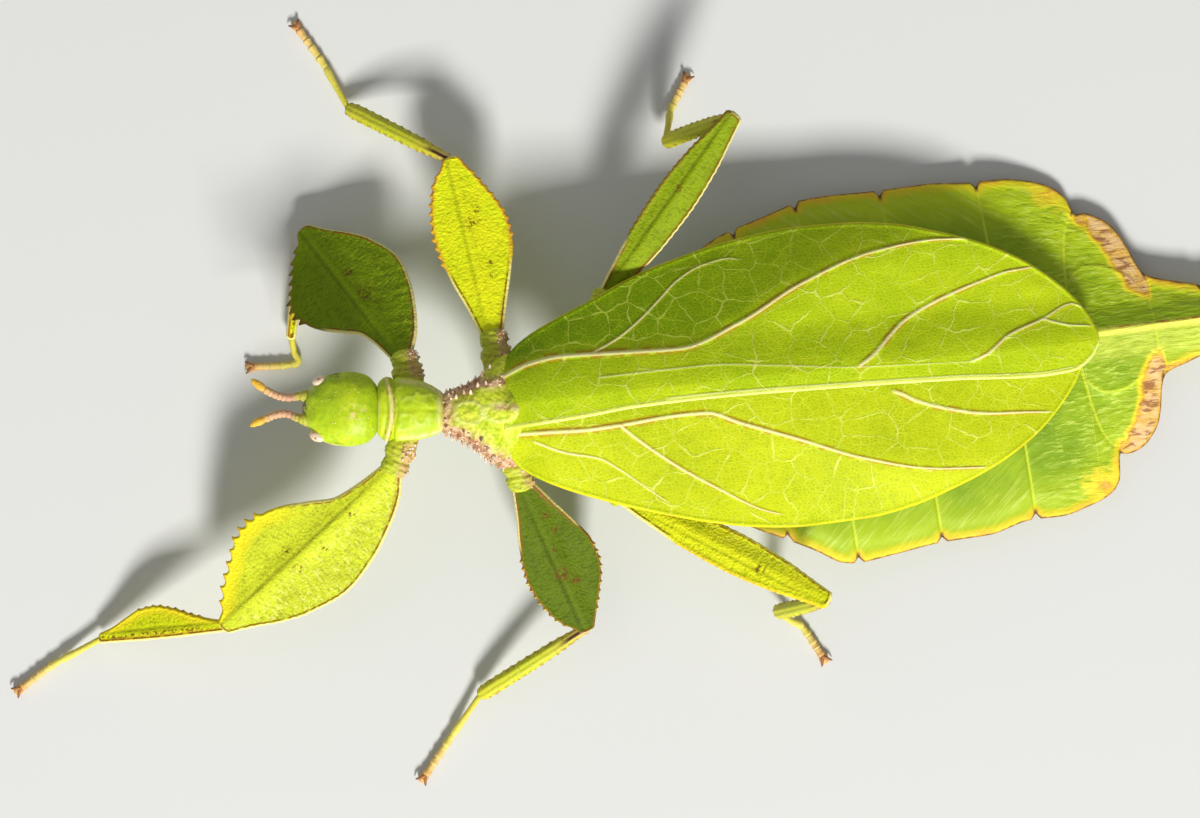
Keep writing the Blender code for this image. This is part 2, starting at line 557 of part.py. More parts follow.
def wing_solid(name, side, outer, inner, veins, spacing):
    """A forewing: its flat pattern is split into triangles along the main veins, then lifted twice."""
    outline = resample(outer, spacing) + resample(inner, spacing)[::-1]
    lines = [resample(line, spacing) for line in veins.values()]
    flat = list(outline)
    edges = []

    def spot(p, nearest):
        """Index of this point, or of one already closer to it than nearest."""
        gaps = [(q - p).length for q in flat]
        k = min(range(len(flat)), key=gaps.__getitem__)
        if gaps[k] < nearest:
            return k, False
        flat.append(p)
        return len(flat) - 1, True

    for line in lines:
        chain = [spot(p, 0.6 * VEIN_HALF_WIDTH)[0] for p in line]
        edges += [(a, b) for a, b in zip(chain, chain[1:]) if a != b]
    for line in lines:
        for a, b in zip(line, line[1:]):
            along = (b - a).normalized()
            beside = Vector((-along.y, along.x)) * VEIN_HALF_WIDTH
            for sign in (1, -1):
                p = (a + b) / 2 + beside * sign
                if distance_to_line(p, outline + outline[:1]) > VEIN_HALF_WIDTH and inside(p, outline):
                    spot(p, 0.8 * VEIN_HALF_WIDTH)
    reach = 1.7 * spacing
    for i in range(int(56 / reach)):
        for j in range(-8, 9):
            p = Vector((i * reach, (j + 0.5 * (i % 2)) * reach))
            if inside(p, outline) and distance_to_line(p, outline + outline[:1]) > 0.5 * reach:
                spot(p, 0.62 * reach)
    found = delaunay_2d_cdt(flat, edges, [list(range(len(outline)))], 1, 1e-5)
    plane, triangles = found[0], found[2]
    top, bottom = [], []
    for p in plane:
        x, y = wing_to_world(p.x, p.y)
        z = wing_z(p.x, p.y, side)
        fall = abs(wing_z(p.x, p.y + 0.5, side) - wing_z(p.x, p.y - 0.5, side))
        half = 0.5 * WING_THICKNESS * math.hypot(1, fall)
        ridge = VEIN_HEIGHT * max(0.0, 1 - min(distance_to_line(p, line) for line in lines) / VEIN_HALF_WIDTH)
        top.append((x, y, z + half + ridge))
        bottom.append((x, y, z - half))
    under = len(top)
    faces = [tuple(t) for t in triangles] + [tuple(under + k for k in t[::-1]) for t in triangles]
    sides = {}
    for t in triangles:
        for a, b in zip(t, [*t[1:], t[0]]):
            sides[(a, b)] = True
    for a, b in sides:
        if (b, a) not in sides:
            faces += [(b, a, under + a), (b, under + a, under + b)]
    return make_object(name, top + bottom, faces, "wing_green")


def inside(p, outline):
    """True where a flat point lies within the outline."""
    found = False
    for a, b in zip(outline, outline[1:] + outline[:1]):
        if (a.y > p.y) != (b.y > p.y) and p.x < a.x + (p.y - a.y) * (b.x - a.x) / (b.y - a.y):
            found = not found
    return found


def limb_axes(start, end, side, roll):
    """Along the limb, towards its front edge and up out of its flat face."""
    along = (end - start).normalized()
    flat = Vector((along.x, along.y, 0)).normalized()
    front = Vector((flat.y, -flat.x, 0)) if side == "left" else Vector((-flat.y, flat.x, 0))
    up = along.cross(front).normalized()
    if up.z < 0:
        up = -up
    turn = math.radians(roll)
    front, up = front * math.cos(turn) + up * math.sin(turn), up * math.cos(turn) - front * math.sin(turn)
    return along, front, up


def teeth_stations(first, last, count, height):
    """Places and heights of saw teeth, each leaning towards the limb's far end."""
    pitch = (last - first) / count
    found = {}
    for k in range(count):
        found[round(first + pitch * k, 4)] = 0.0
        found[round(first + pitch * (k + 0.62), 4)] = height
    found[round(last, 4)] = 0.0
    return found


def blade(name, start, end, side, roll, lobe, finish, steps=12):
    """A leaf-like limb segment: a rod along its axis with a thin toothed lobe on each side."""
    start, end = Vector(start), Vector(end)
    along, front, up = limb_axes(start, end, side, roll)
    front_teeth, rear_teeth = teeth_stations(*lobe["front_teeth"]), teeth_stations(*lobe["rear_teeth"])
    stations = sorted({round(k / steps, 4) for k in range(steps + 1)} | set(front_teeth) | set(rear_teeth))
    stations = [u for i, u in enumerate(stations)
                if i == 0 or u in front_teeth or u - stations[i - 1] > STATION_GAP]
    rod, foot = lobe["rod"], lobe["rod"] * 0.95
    half = BLADE_EDGE / 2

    def teeth(table, u):
        keys = sorted(table)
        return float(np.interp(u, keys, [table[k] for k in keys])) if keys[0] <= u <= keys[-1] else 0.0

    top, bottom = [], []
    for u in stations:
        at = start + (end - start) * u
        reach_front = value(lobe["front"], u) + teeth(front_teeth, u)
        reach_rear = value(lobe["rear"], u) + teeth(rear_teeth, u)
        feet = min(foot, 0.8 * reach_front), min(foot, 0.8 * reach_rear)
        crest = rod * (1 - 0.25 * abs(2 * u - 1) ** 3)
        upper, lower = [], []
        for offset, thick in ((-reach_rear, half), (-feet[1], half * 1.25), (0.0, crest),
                              (feet[0], half * 1.25), (reach_front, half)):
            upper.append(at + front * offset + up * thick)
            lower.append(at + front * offset - up * thick)
        top.append(upper)
        bottom.append(lower)
    return plate(name, top, bottom, finish)


def shin(name, knee, ankle, finish):
    """A slim round shin that bows up a little between knee and ankle."""
    knee, ankle = Vector(knee), Vector(ankle)
    path = []
    for u in (0, 0.08, 0.3, 0.55, 0.8, 0.94, 1):
        p = knee.lerp(ankle, u)
        path.append((p.x, p.y, p.z + SHIN_BOW * math.sin(math.pi * u), value(SHIN_RADII, u)))
    return tube(name, path, finish)


def foot(name, ankle, bend, tip, finish):
    """A jointed foot with two claws and the pad between them, lying on the ground."""
    line = resample([ankle, Vector(ankle).lerp(Vector(bend), 0.55), bend, tip], 0.3)
    total = len(line) - 1
    path = [(*line[round(u * total)], radius) for u, radius in FOOT_RADII]
    pieces = []
    along = (line[-1] - line[-3]).normalized()
    for sign in (1, -1):
        turn = sign * CLAW_SPREAD
        out = Vector((along.x * math.cos(turn) - along.y * math.sin(turn),
                      along.x * math.sin(turn) + along.y * math.cos(turn), 0)).normalized()
        base = line[-1] - out * 0.15 + Vector((0, 0, 0.05))
        middle = base + out * CLAW_LENGTH * 0.6 + Vector((0, 0, 0.12))
        end = base + out * CLAW_LENGTH + Vector((0, 0, -0.28))
        pieces.append(tube(name + "_claw", [(*base, CLAW_RADIUS), (*middle, CLAW_RADIUS * 0.8), (*end, 0.05)],
                           finish, resolution=1))
    heading = math.atan2(along.y, along.x)
    pad = line[-1] + Vector((along.x, along.y, 0)) * PAD_AHEAD
    pad_centre = (pad.x, pad.y, PAD_RADII[2] - PAD_SINK)
    pieces.append(ball(name + "_pad", pad_centre, PAD_RADII, heading, finish, *PAD_GRID))
    return combine(tube(name, path, finish), pieces, "UNION")


def make_legs(thorax):
    """Hips, thighs, shins and feet of all six legs."""
    for leg, facts in LEGS.items():
        place, side = leg.rsplit("_", 1)
        root, hip, knee, ankle, bend, tip = (Vector(p) for p in facts["points"])
        inner = hip + (hip - root).normalized() * 0.4
        stub = [(*root.lerp(inner, share), radius) for share, radius in HIP_RADII]
        hip_node = tube(f"hip_{leg}", stub, "hip_tan")
        cut_clear(hip_node, *thorax[place])
        thigh = blade(f"thigh_{leg}", hip, knee, side, facts["roll"], facts["lobe"], "lobe_green")
        cut_clear(thigh, hip_node)
        if facts["shin"]:
            lower = blade(f"shin_{leg}", knee, ankle, side, 0, facts["shin"], "shin_yellow", steps=10)
        else:
            lower = shin(f"shin_{leg}", knee, ankle, "shin_yellow")
        cut_clear(lower, thigh)
        end = foot(f"foot_{leg}", ankle, bend, tip, "foot_tan")
        cut_clear(end, lower)
        rest_flat(end)


def make_body():
    """Head, thorax, abdomen and what grows from them, each cut clear of its root."""
    pronotum = loft("pronotum", [section_ring(*station) for station in PRONOTUM], "body_green")
    head = loft("head", [section_ring(*station) for station in HEAD], "body_green")
    cut_clear(head, pronotum)
    mesothorax = loft("mesothorax", [section_ring(*station) for station in MESOTHORAX], "hip_tan")
    spines = []
    for x, length, rise in SIDE_SPINES:
        half = value([(station[0], station[2]) for station in MESOTHORAX], x)
        middle = value([(station[0], station[1]) for station in MESOTHORAX], x)
        z = value([(station[0], (station[3] + station[4]) / 2) for station in MESOTHORAX], x) + rise
        for sign in (1, -1):
            base = (x, middle + sign * (half - SPINE_ROOT), z)
            end = (x - SPINE_LEAN, middle + sign * (half + length), z + rise * SPINE_RISE)
            spines.append(cone("spine", base, end, SPINE_BASE, "hip_tan"))
    combine(mesothorax, spines, "UNION")
    cut_clear(mesothorax, pronotum)
    metathorax = loft("metathorax", [section_ring(*station) for station in METATHORAX], "body_green")
    cut_clear(metathorax, mesothorax)
    stations = abdomen_stations(ABDOMEN_FRONT, ABDOMEN_REAR, SEGMENT_ENDS, ABDOMEN_STEP)
    abdomen = abdomen_solid("abdomen", stations, REACH_RIGHT, REACH_LEFT, "body_green")
    cut_clear(abdomen, metathorax)
    rest_flat(abdomen)
    stations = abdomen_stations(ABDOMEN_REAR + JOINT_GAP, TIP_END, [TAIL_SEGMENT], TIP_STEP)
    tip = abdomen_solid("abdomen_tip", stations, TIP_REACH, TIP_REACH, "body_green")
    for side, sign in (("left", -1), ("right", 1)):
        path = []
        for s, t, radius in CERCUS:
            x, y = back_to_world(s, t * sign)
            path.append((x, y, back_z(s, 0) - value(BELLY_DEPTH, s) - 0.15 - radius, radius))
        cut_clear(tube(f"cercus_{side}", path, "hip_tan"), tip)
        eye = ball(f"eye_{side}", EYE_CENTRES[side], EYE_RADII, sign * EYE_TURN, "eye_pale", *EYE_GRID)
        cut_clear(eye, head)
        antenna = tube(f"antenna_{side}", ANTENNA_RIGHT if side == "right" else ANTENNA_LEFT, "antenna_tan")
        cut_clear(antenna, head)
    mouth = loft("mouthparts", [section_ring(*station, sides=12) for station in MOUTH], "hip_tan")
    cut_clear(mouth, head)
    for side, sign in (("left", -1), ("right", 1)):
        palp = tube(f"palp_{side}", [(x, y * sign, z, r) for x, y, z, r in PALP], "antenna_tan")
        cut_clear(palp, head, mouth)
    for side, outer, inner, veins in (("left", WING_LEFT_OUTER, WING_LEFT_INNER, VEINS_LEFT),
                                      ("right", WING_RIGHT_OUTER, WING_RIGHT_INNER, VEINS_RIGHT)):
        wing = wing_solid(f"wing_{side}", side, outer, inner, veins, WING_STEP)
        cut_clear(wing, mesothorax, metathorax)
    return {"fore": (pronotum,), "mid": (mesothorax, metathorax), "hind": (metathorax, abdomen)}


clear_scene()
insect = bpy.data.collections.new("leaf_insect")
bpy.context.scene.collection.children.link(insect)
make_legs(make_body())
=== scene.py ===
import json
import math

import bpy
import numpy as np
from mathutils import Matrix, Vector

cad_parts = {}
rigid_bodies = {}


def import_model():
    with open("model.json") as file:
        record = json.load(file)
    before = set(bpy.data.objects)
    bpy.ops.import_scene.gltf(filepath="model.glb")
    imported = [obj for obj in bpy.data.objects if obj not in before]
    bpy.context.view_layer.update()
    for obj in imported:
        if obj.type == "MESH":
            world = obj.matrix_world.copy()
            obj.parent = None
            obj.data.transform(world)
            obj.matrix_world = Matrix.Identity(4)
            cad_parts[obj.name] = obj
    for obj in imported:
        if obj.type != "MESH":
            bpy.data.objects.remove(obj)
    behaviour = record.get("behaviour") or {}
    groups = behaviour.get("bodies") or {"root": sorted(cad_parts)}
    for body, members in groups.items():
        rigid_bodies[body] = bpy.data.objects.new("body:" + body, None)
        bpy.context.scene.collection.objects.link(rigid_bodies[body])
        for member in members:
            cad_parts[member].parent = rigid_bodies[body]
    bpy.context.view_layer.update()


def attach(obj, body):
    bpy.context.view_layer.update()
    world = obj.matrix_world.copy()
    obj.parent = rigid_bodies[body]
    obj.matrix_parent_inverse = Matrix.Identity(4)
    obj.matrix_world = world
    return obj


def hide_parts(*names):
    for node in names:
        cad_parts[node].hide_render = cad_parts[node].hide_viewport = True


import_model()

# Lengths are in millimetres and the finished meshes in metres
METRES = 0.001
ORIGIN = np.array([2.76, 0.6, 0.0])
SEED = 11

# The photograph's view: straight down, the camera this high over the ground
CAMERA_HEIGHT = 270.0
LENS = 91.8
SENSOR_WIDTH = 36.0

# Studio lamps: place and size in metres, and power in watts
LAMPS = [("key", (0.22, -0.99, 0.79), 0.27, 22.5), ("fill", (-0.30, 0.20, 0.50), 0.5, 0.3)]

# The back: the abdomen's own axis starts between the wing roots and turns to the right
BACK_START = (-8.0, 0.34)
BACK_TURN = math.radians(7.3)
BACK_SKEW = 0.05
RIDGE_START_Z = 11.9
RIDGE_FALL = 0.2
RIDGE_LEVELLING = 0.00096
CROWN_RADIUS = 1.5
KEEL_RADIUS = 0.3
RIGHT_SLOPE = 0.33
LEFT_SLOPE = 0.2
SLOPE_FADE = [(0, 1.0), (30, 1.0), (50, 0.62), (66, 0.5)]

# The abdomen: where each segment ends along the axis, and its reach to either side
ABDOMEN_FRONT = 8.3
SEGMENT_ENDS = [15.0, 21.9, 27.7, 35.25, 43.7, 52.0]
TAIL_START = 56.75
TAIL_SEGMENT = 61.4
TIP_END = 66.0
REACH_RIGHT = [(8.3, 3.4), (11, 4.9), (15, 8.6), (20.6, 12.2), (24.9, 13.5), (27.5, 14.3), (28.1, 14.5),
               (31.0, 14.65), (35.0, 14.55), (39.3, 14.6), (43.5, 14.25), (46.0, 14.2), (48.5, 13.75),
               (50.3, 13.0), (51.4, 11.9), (51.95, 10.3), (52.6, 10.35), (53.9, 9.8), (55.0, 8.8),
               (55.7, 7.4), (56.2, 5.9), (56.6, 4.7), (57.2, 4.15), (59.4, 3.4), (61.3, 2.85), (61.6, 2.6),
               (63.6, 2.3), (65.0, 1.6), (65.8, 0.8), (66.0, 0.35)]
REACH_LEFT = [(8.3, 3.4), (11, 5.2), (15, 9.4), (18.4, 12.8), (21.7, 14.6), (24.2, 16.0), (26.3, 17.3),
              (27.6, 17.5), (31.3, 17.15), (35.2, 16.7), (39.3, 16.6), (43.5, 15.75), (45.8, 15.8),
              (48.6, 15.2), (50.6, 14.4), (51.6, 13.2), (51.95, 11.0), (52.7, 11.1), (54.0, 10.7),
              (55.2, 9.6), (56.0, 8.2), (56.3, 6.9), (56.6, 5.4), (57.2, 4.5), (59.4, 3.75), (61.3, 3.0),
              (61.6, 2.7), (63.6, 2.3), (65.0, 1.6), (65.8, 0.8), (66.0, 0.35)]
SEAM_BOW = [(0, 2.35), (3, 2.3), (5, 2.1), (7, 1.8), (8.8, 1.35), (10, 0.7), (11, 0.0), (20, 0.0)]
FOLD_LINE = [(49.7, 3.9), (50.7, 5.1), (51.8, 5.55), (53.2, 5.4), (54.4, 4.8), (55.8, 3.9)]
NOTCH_DEPTH = 0.5
NOTCH_LENGTH = 0.42
PLATE_STEP = 0.16
BELLY_DEPTH = [(8.3, 3.6), (20, 4.5), (36, 4.4), (50, 3.9), (54, 3.2), (57, 2.0), (66, 0.5)]
BELLY_WIDTH = [(8.3, 3.3), (15, 5.2), (24, 6.6), (44, 6.2), (52, 4.6), (57, 3.6), (66, 1.4)]
MARGIN_THICKNESS = 0.5
ABDOMEN_ROUNDING = 0.28
# Where the rear corners turn yellow and brown: place along and across, size and strength
BLUSHED_CORNERS = [(50.2, 12.6, 2.0, 0.6), (48.5, 14.0, 1.2, 0.4), (52.3, 9.8, 1.0, 0.8),
                   (50.2, -13.6, 2.2, 0.6), (52.4, -10.4, 1.0, 0.7)]

# The forewings: one frame for both, the right one lying over the left one's inner strip
WING_START = (-8.42, 0.34)
WING_TURN = math.radians(6.2)
WING_THICKNESS = 0.42
WING_ROUNDING = 0.18
WING_CLEARANCE = 0.62
WING_ARCH = [(0, 0.95), (10, 1.6), (20, 1.9), (30, 1.6), (45, 0.9), (52, 0.45)]
WING_OVERLAP_LIFT = 0.86
WING_INNER_SLOPE = 0.1
FOLD = {"right": [(0, 2.3), (5.4, 3.4), (15.6, 3.1), (21, 4.8), (26.5, 7.5), (32.9, 9.6), (38.3, 10.1),
                  (52, 9.0)],
        "left": [(0, 2.4), (7.3, 2.9), (17.2, 2.5), (20, 3.7), (25, 5.7), (30.1, 7.8), (36.1, 9.4),
                 (52, 9.0)]}
STEEP = {"right": [(0, 0.6), (14, 0.48), (20, 0.5), (30, 0.66), (44, 0.45), (52, 0.25)],
         "left": [(0, 0.35), (10, 0.2), (17, 0.17), (30, 0.42), (44, 0.4), (52, 0.25)]}
WING_OUTER = {
    "right": [(0.15, 2.4), (1.2, 4.3), (2.6, 5.4), (5.0, 6.6), (8.8, 8.2), (12, 9.6), (15, 10.6),
              (20.6, 11.9), (27, 12.6), (31, 12.5), (35, 12.0), (38.6, 11.0), (42.2, 9.7), (45.7, 7.9),
              (48.2, 6.0), (50.0, 4.2), (51.2, 2.4), (51.8, 0.8)],
    "left": [(0.15, -3.0), (0.4, -4.4), (1.0, -5.4), (2.3, -6.4), (4.5, -7.6), (8.3, -9.2), (12.3, -10.6),
             (16.3, -11.8), (20.4, -12.7), (25, -13.2), (30.3, -13.1), (34.2, -12.5), (38.1, -11.3),
             (41.6, -9.9), (44.9, -8.0), (47.4, -5.9), (49.6, -3.2), (50.4, -1.6)]}
WING_INNER = {
    "right": [(0.15, -2.2), (7.4, -1.8), (11.3, -1.5), (16.9, -1.4), (29.1, -1.7), (38.8, -2.1),
              (46.5, -2.6), (49.3, -2.4), (51.0, -1.4), (51.8, -0.2)],
    "left": [(0.15, -2.5), (3.0, -1.1), (8.0, -0.4), (29, -0.5), (44, -0.9), (49, -0.9), (50.4, -1.3)]}

# Main veins: points along each, half width, and how brown its borders are
VEINS = {
    "right": {
        "radius": ([(0.15, 2.2), (2.9, 3.2), (5.4, 3.5), (10.5, 3.3), (15.6, 3.1), (21.0, 4.8), (26.5, 7.5),
                    (32.9, 9.6), (38.3, 10.15), (41.3, 9.95)], 0.14, 0.9),
        "media": ([(30.6, 0.0), (31.8, 0.7), (33.6, 2.3), (35.1, 3.5), (38.3, 4.95), (42.5, 6.25),
                   (44.6, 6.75), (46.8, 6.9)], 0.12, 0.9),
        "stem": ([(8.6, 1.4), (17.2, 1.45), (24.0, 0.75), (30.2, -0.05), (35.0, -0.35),
                  (40.3, -0.65)], 0.06, 0.0),
        "cubitus": ([(40.3, -0.65), (41.7, -0.2), (44.0, 1.3), (47.1, 2.35), (49.8, 3.4),
                     (50.9, 2.9)], 0.1, 0.6),
        "fork": ([(47.1, 2.35), (49.3, 1.6), (51.4, 1.3)], 0.08, 0.0),
        "costal": ([(8.2, 3.5), (10.4, 4.5), (12.5, 5.9), (14.4, 7.5), (16.0, 8.9), (18.2, 10.0),
                    (20.6, 10.4), (21.6, 10.2)], 0.08, 0.3),
        "anal": ([(14.0, -0.95), (16.9, -0.95), (29.1, -1.3), (38.8, -1.7), (46.5, -2.2),
                  (49.3, -2.0)], 0.055, 0.0),
    },
    "left": {
        "radius": ([(0.15, -2.6), (4.2, -2.75), (7.3, -2.9), (9.8, -2.8), (15.0, -2.5), (17.2, -2.55),
                    (20.0, -3.7), (25.0, -5.7), (30.1, -7.8), (36.1, -9.4), (40.9, -9.85)], 0.13, 0.9),
        "media": ([(33.4, -2.45), (34.2, -2.8), (35.2, -3.4), (37.7, -4.35), (41.3, -5.2), (45.0, -5.5),
                   (47.0, -5.7)], 0.12, 0.8),
        "costal": ([(9.8, -2.8), (11.7, -4.6), (14.6, -7.0), (17.8, -9.2), (21.0, -11.2),
                    (22.8, -11.9)], 0.1, 0.6),
        "outer": ([(2.5, -3.4), (5.0, -4.6), (7.8, -5.4), (9.4, -6.5), (11.6, -8.4),
                   (13.3, -9.8)], 0.075, 0.3),
    },
}
VEIN_HEIGHT = 0.15
WING_ROOT_SINK = 1.35


def through(stations, at):
    """Smooth values through (station, value) pairs, without overshoot."""
    xs, ys = np.array(stations, float).T
    at = np.clip(np.asarray(at, float), xs[0], xs[-1])
    rise = np.diff(ys) / np.diff(xs)
    before, after = rise[:-1], rise[1:]
    together = before * after > 0
    inner = np.where(together, 2 * before * after / np.where(together, before + after, 1), 0)
    slope = np.concatenate([rise[:1], inner, rise[-1:]])
    i = np.clip(np.searchsorted(xs, at, side="right") - 1, 0, len(xs) - 2)
    width = xs[i + 1] - xs[i]
    u = (at - xs[i]) / width
    return ((2 * u**3 - 3 * u**2 + 1) * ys[i] + (u**3 - 2 * u**2 + u) * width * slope[i]
            + (3 * u**2 - 2 * u**3) * ys[i + 1] + (u**3 - u**2) * width * slope[i + 1])


def smoothstep(low, high, at):
    u = np.clip((np.asarray(at, float) - low) / (high - low), 0, 1)
    return u * u * (3 - 2 * u)


def bump(distance, width):
    """A rounded ridge of height 1 at distance 0."""
    return np.exp(-(np.asarray(distance) / width) ** 2)


def rough(x, y, z, size, seed):
    """Smooth random heights from -1 to 1, the bumps about size millimetres across."""
    lattice = np.random.RandomState(SEED + seed).uniform(-1, 1, (24, 24, 24))
    place = [np.asarray(c, float) / size + 7.3 * k for k, c in enumerate((x, y, z))]
    cell = [np.floor(c).astype(int) for c in place]
    part = [c - f for c, f in zip(place, cell)]
    part = [p * p * (3 - 2 * p) for p in part]
    total = 0
    for corner in range(8):
        step = [(corner >> k) & 1 for k in range(3)]
        weight = 1
        for p, s in zip(part, step):
            weight = weight * (p if s else 1 - p)
        total = total + weight * lattice[tuple((c + s) % 24 for c, s in zip(cell, step))]
    return total


def gap_to(points, line):
    """Distance from each flat point to the nearest stretch of a line."""
    line = np.asarray(line, float)
    a, step = line[:-1], np.diff(line, axis=0)
    length = np.maximum((step**2).sum(1), 1e-9)
    best = np.empty(len(points))
    for start in range(0, len(points), 4000):
        p = points[start:start + 4000, None, :] - a[None]
        u = np.clip((p * step).sum(2) / length, 0, 1)
        best[start:start + 4000] = np.sqrt(((p - u[..., None] * step) ** 2).sum(2).min(1))
    return best


def even_line(points, spacing):
    """Points a steady distance apart on a smooth curve through the given ones."""
    line = np.asarray(points, float)
    ends = np.vstack([2 * line[:1] - line[1:2], line, 2 * line[-1:] - line[-2:-1]])
    u = np.linspace(0, 1, 24, endpoint=False)[:, None]
    fine = [0.5 * (2 * b + (c - a) * u + (2 * a - 5 * b + 4 * c - d) * u**2 + (3 * b - a - 3 * c + d) * u**3)
            for a, b, c, d in zip(ends, ends[1:], ends[2:], ends[3:])]
    fine = np.vstack([*fine, line[-1:]])
    run = np.concatenate([[0], np.cumsum(np.linalg.norm(np.diff(fine, axis=0), axis=1))])
    wanted = np.linspace(0, run[-1], max(3, int(round(run[-1] / spacing)) + 1))
    return np.column_stack([np.interp(wanted, run, fine[:, k]) for k in range(line.shape[1])])


def spread(start, end, spacing, crowd=0.0):
    """Stations from start to end, crowded towards both ends by crowd from 0 to 1."""
    u = np.linspace(0, 1, max(3, int(round(abs(end - start) / spacing)) + 1))
    return start + (end - start) * ((1 - crowd) * u + crowd * 0.5 * (1 - np.cos(math.pi * u)))


def rounded(inward, radius):
    """How full a section is at a distance in from its margin, which is rounded off over a radius."""
    return np.sqrt(1 - (1 - np.clip(inward / radius, 0, 1)) ** 2)


def from_margin(s, t, rows, right, left):
    """How far each place of a sheet lies from its outline, whose two sides are given at each row."""
    outline = np.vstack([np.column_stack([rows, right]), np.column_stack([rows, left])[::-1],
                         [[rows[0], right[0]]]])
    return gap_to(np.column_stack([s.ravel(), t.ravel()]), outline).reshape(s.shape)


def make_piece(name, points, faces, marks, extra, finish):
    """A mesh object at the origin from points in millimetres. Its finish reads the marks, one grid of numbers or
    places each, which the extra points share with the grid's points of those indices."""
    mesh = bpy.data.meshes.new(name)
    mesh.from_pydata(((points - ORIGIN) * METRES).tolist(), [], faces)
    for mark, grid in marks.items():
        kind, label, size = ("FLOAT_VECTOR", "vector", 3) if grid.ndim == 3 else ("FLOAT", "value", 1)
        flat = grid.reshape(-1, size)
        numbers = np.vstack([flat, flat[extra]]).astype(np.float32)
        mesh.attributes.new(mark, kind, "POINT").data.foreach_set(label, numbers.ravel())
    mesh.update()
    mesh.shade_smooth()
    obj = bpy.data.objects.new(name, mesh)
    bpy.context.scene.collection.objects.link(obj)
    mesh.materials.append(finish)
    return obj


def belongs(obj, slot, *nodes):
    """The piece is part of the insect and stands for those CAD nodes, which it hides. Its slot is not used."""
    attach(obj, "root")
    if nodes:
        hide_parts(*nodes)
    return obj


def skin_of_sheet(name, top, bottom, marks, finish):
    """A thin closed skin: two grids of points that share their border."""
    rows, columns = top.shape[:2]
    upper = np.arange(rows * columns).reshape(rows, columns)
    inside = upper[1:-1, 1:-1]
    lower = upper.copy()
    lower[1:-1, 1:-1] = upper.size + np.arange(inside.size).reshape(inside.shape)

    def cells(index, flip):
        corners = [index[:-1, :-1], index[1:, :-1], index[1:, 1:], index[:-1, 1:]]
        return np.stack(corners[::-1] if flip else corners, -1).reshape(-1, 4).tolist()

    i, k = rows // 2, columns // 2
    flip = np.cross(top[i + 1, k] - top[i, k], top[i, k + 1] - top[i, k]) @ (top - bottom)[i, k] < 0
    points = np.vstack([top.reshape(-1, 3), bottom[1:-1, 1:-1].reshape(-1, 3)])
    faces = cells(upper, flip) + cells(lower, not flip)
    return make_piece(name, points, faces, marks, inside.ravel(), finish)


def skin_of_rings(name, rings, marks, finish):
    """A closed skin over rings of points, each end closed by a fan. The rings run along the piece."""
    rows, columns = rings.shape[:2]
    index = np.arange(rows * columns).reshape(rows, columns)
    beside = np.roll(index, -1, axis=1)
    quads = np.stack([index[:-1], beside[:-1], beside[1:], index[1:]], -1).reshape(-1, 4)
    first, last = rows * columns, rows * columns + 1
    faces = quads.tolist() + [(first, b, a) for a, b in zip(index[0].tolist(), beside[0].tolist())]
    faces += [(last, a, b) for a, b in zip(index[-1].tolist(), beside[-1].tolist())]
    points = np.vstack([rings.reshape(-1, 3), rings[0].mean(0)[None], rings[-1].mean(0)[None]])
    a, b, c = (points[quads[:, :3]] - rings.mean((0, 1))).transpose(1, 0, 2)
    if (a * np.cross(b, c)).sum() < 0:
        faces = [tuple(face[::-1]) for face in faces]
    return make_piece(name, points, faces, marks, [0, -1], finish)


def limb_skin(name, path, reach, finish, sides=28, shape=None):
    """A round limb along a path. reach gives its radius at each share of its length, shape its section."""
    share = np.linspace(0, 1, len(path))
    along = np.gradient(path, axis=0)
    along /= np.linalg.norm(along, axis=1)[:, None]
    beside = np.cross(along, [0, 0, 1.0])
    weak = np.linalg.norm(beside, axis=1) < 0.15
    beside[weak] = np.cross(along[weak], [0, 1.0, 0])
    beside /= np.linalg.norm(beside, axis=1)[:, None]
    above = np.cross(beside, along)
    angle = np.linspace(0, math.tau, sides, endpoint=False)
    radius = reach(share)[:, None] * np.ones(sides)
    if shape:
        radius = radius * shape(share[:, None], angle[None, :])
    length = np.linalg.norm(np.diff(path, axis=0), axis=1).sum()
    rings = (path[:, None] + beside[:, None] * (radius * np.cos(angle))[..., None]
             + above[:, None] * (radius * np.sin(angle))[..., None])
    share = share[:, None] + 0 * radius
    marks = {"along": share, "edge": np.cos(angle) ** 8 + 0 * radius,
             "crown": np.clip(np.sin(angle), 0, 1) ** 10 + 0 * radius,
             "place": np.stack([share * length, radius * angle, 0 * radius], -1)}
    return skin_of_rings(name, rings, marks, finish)


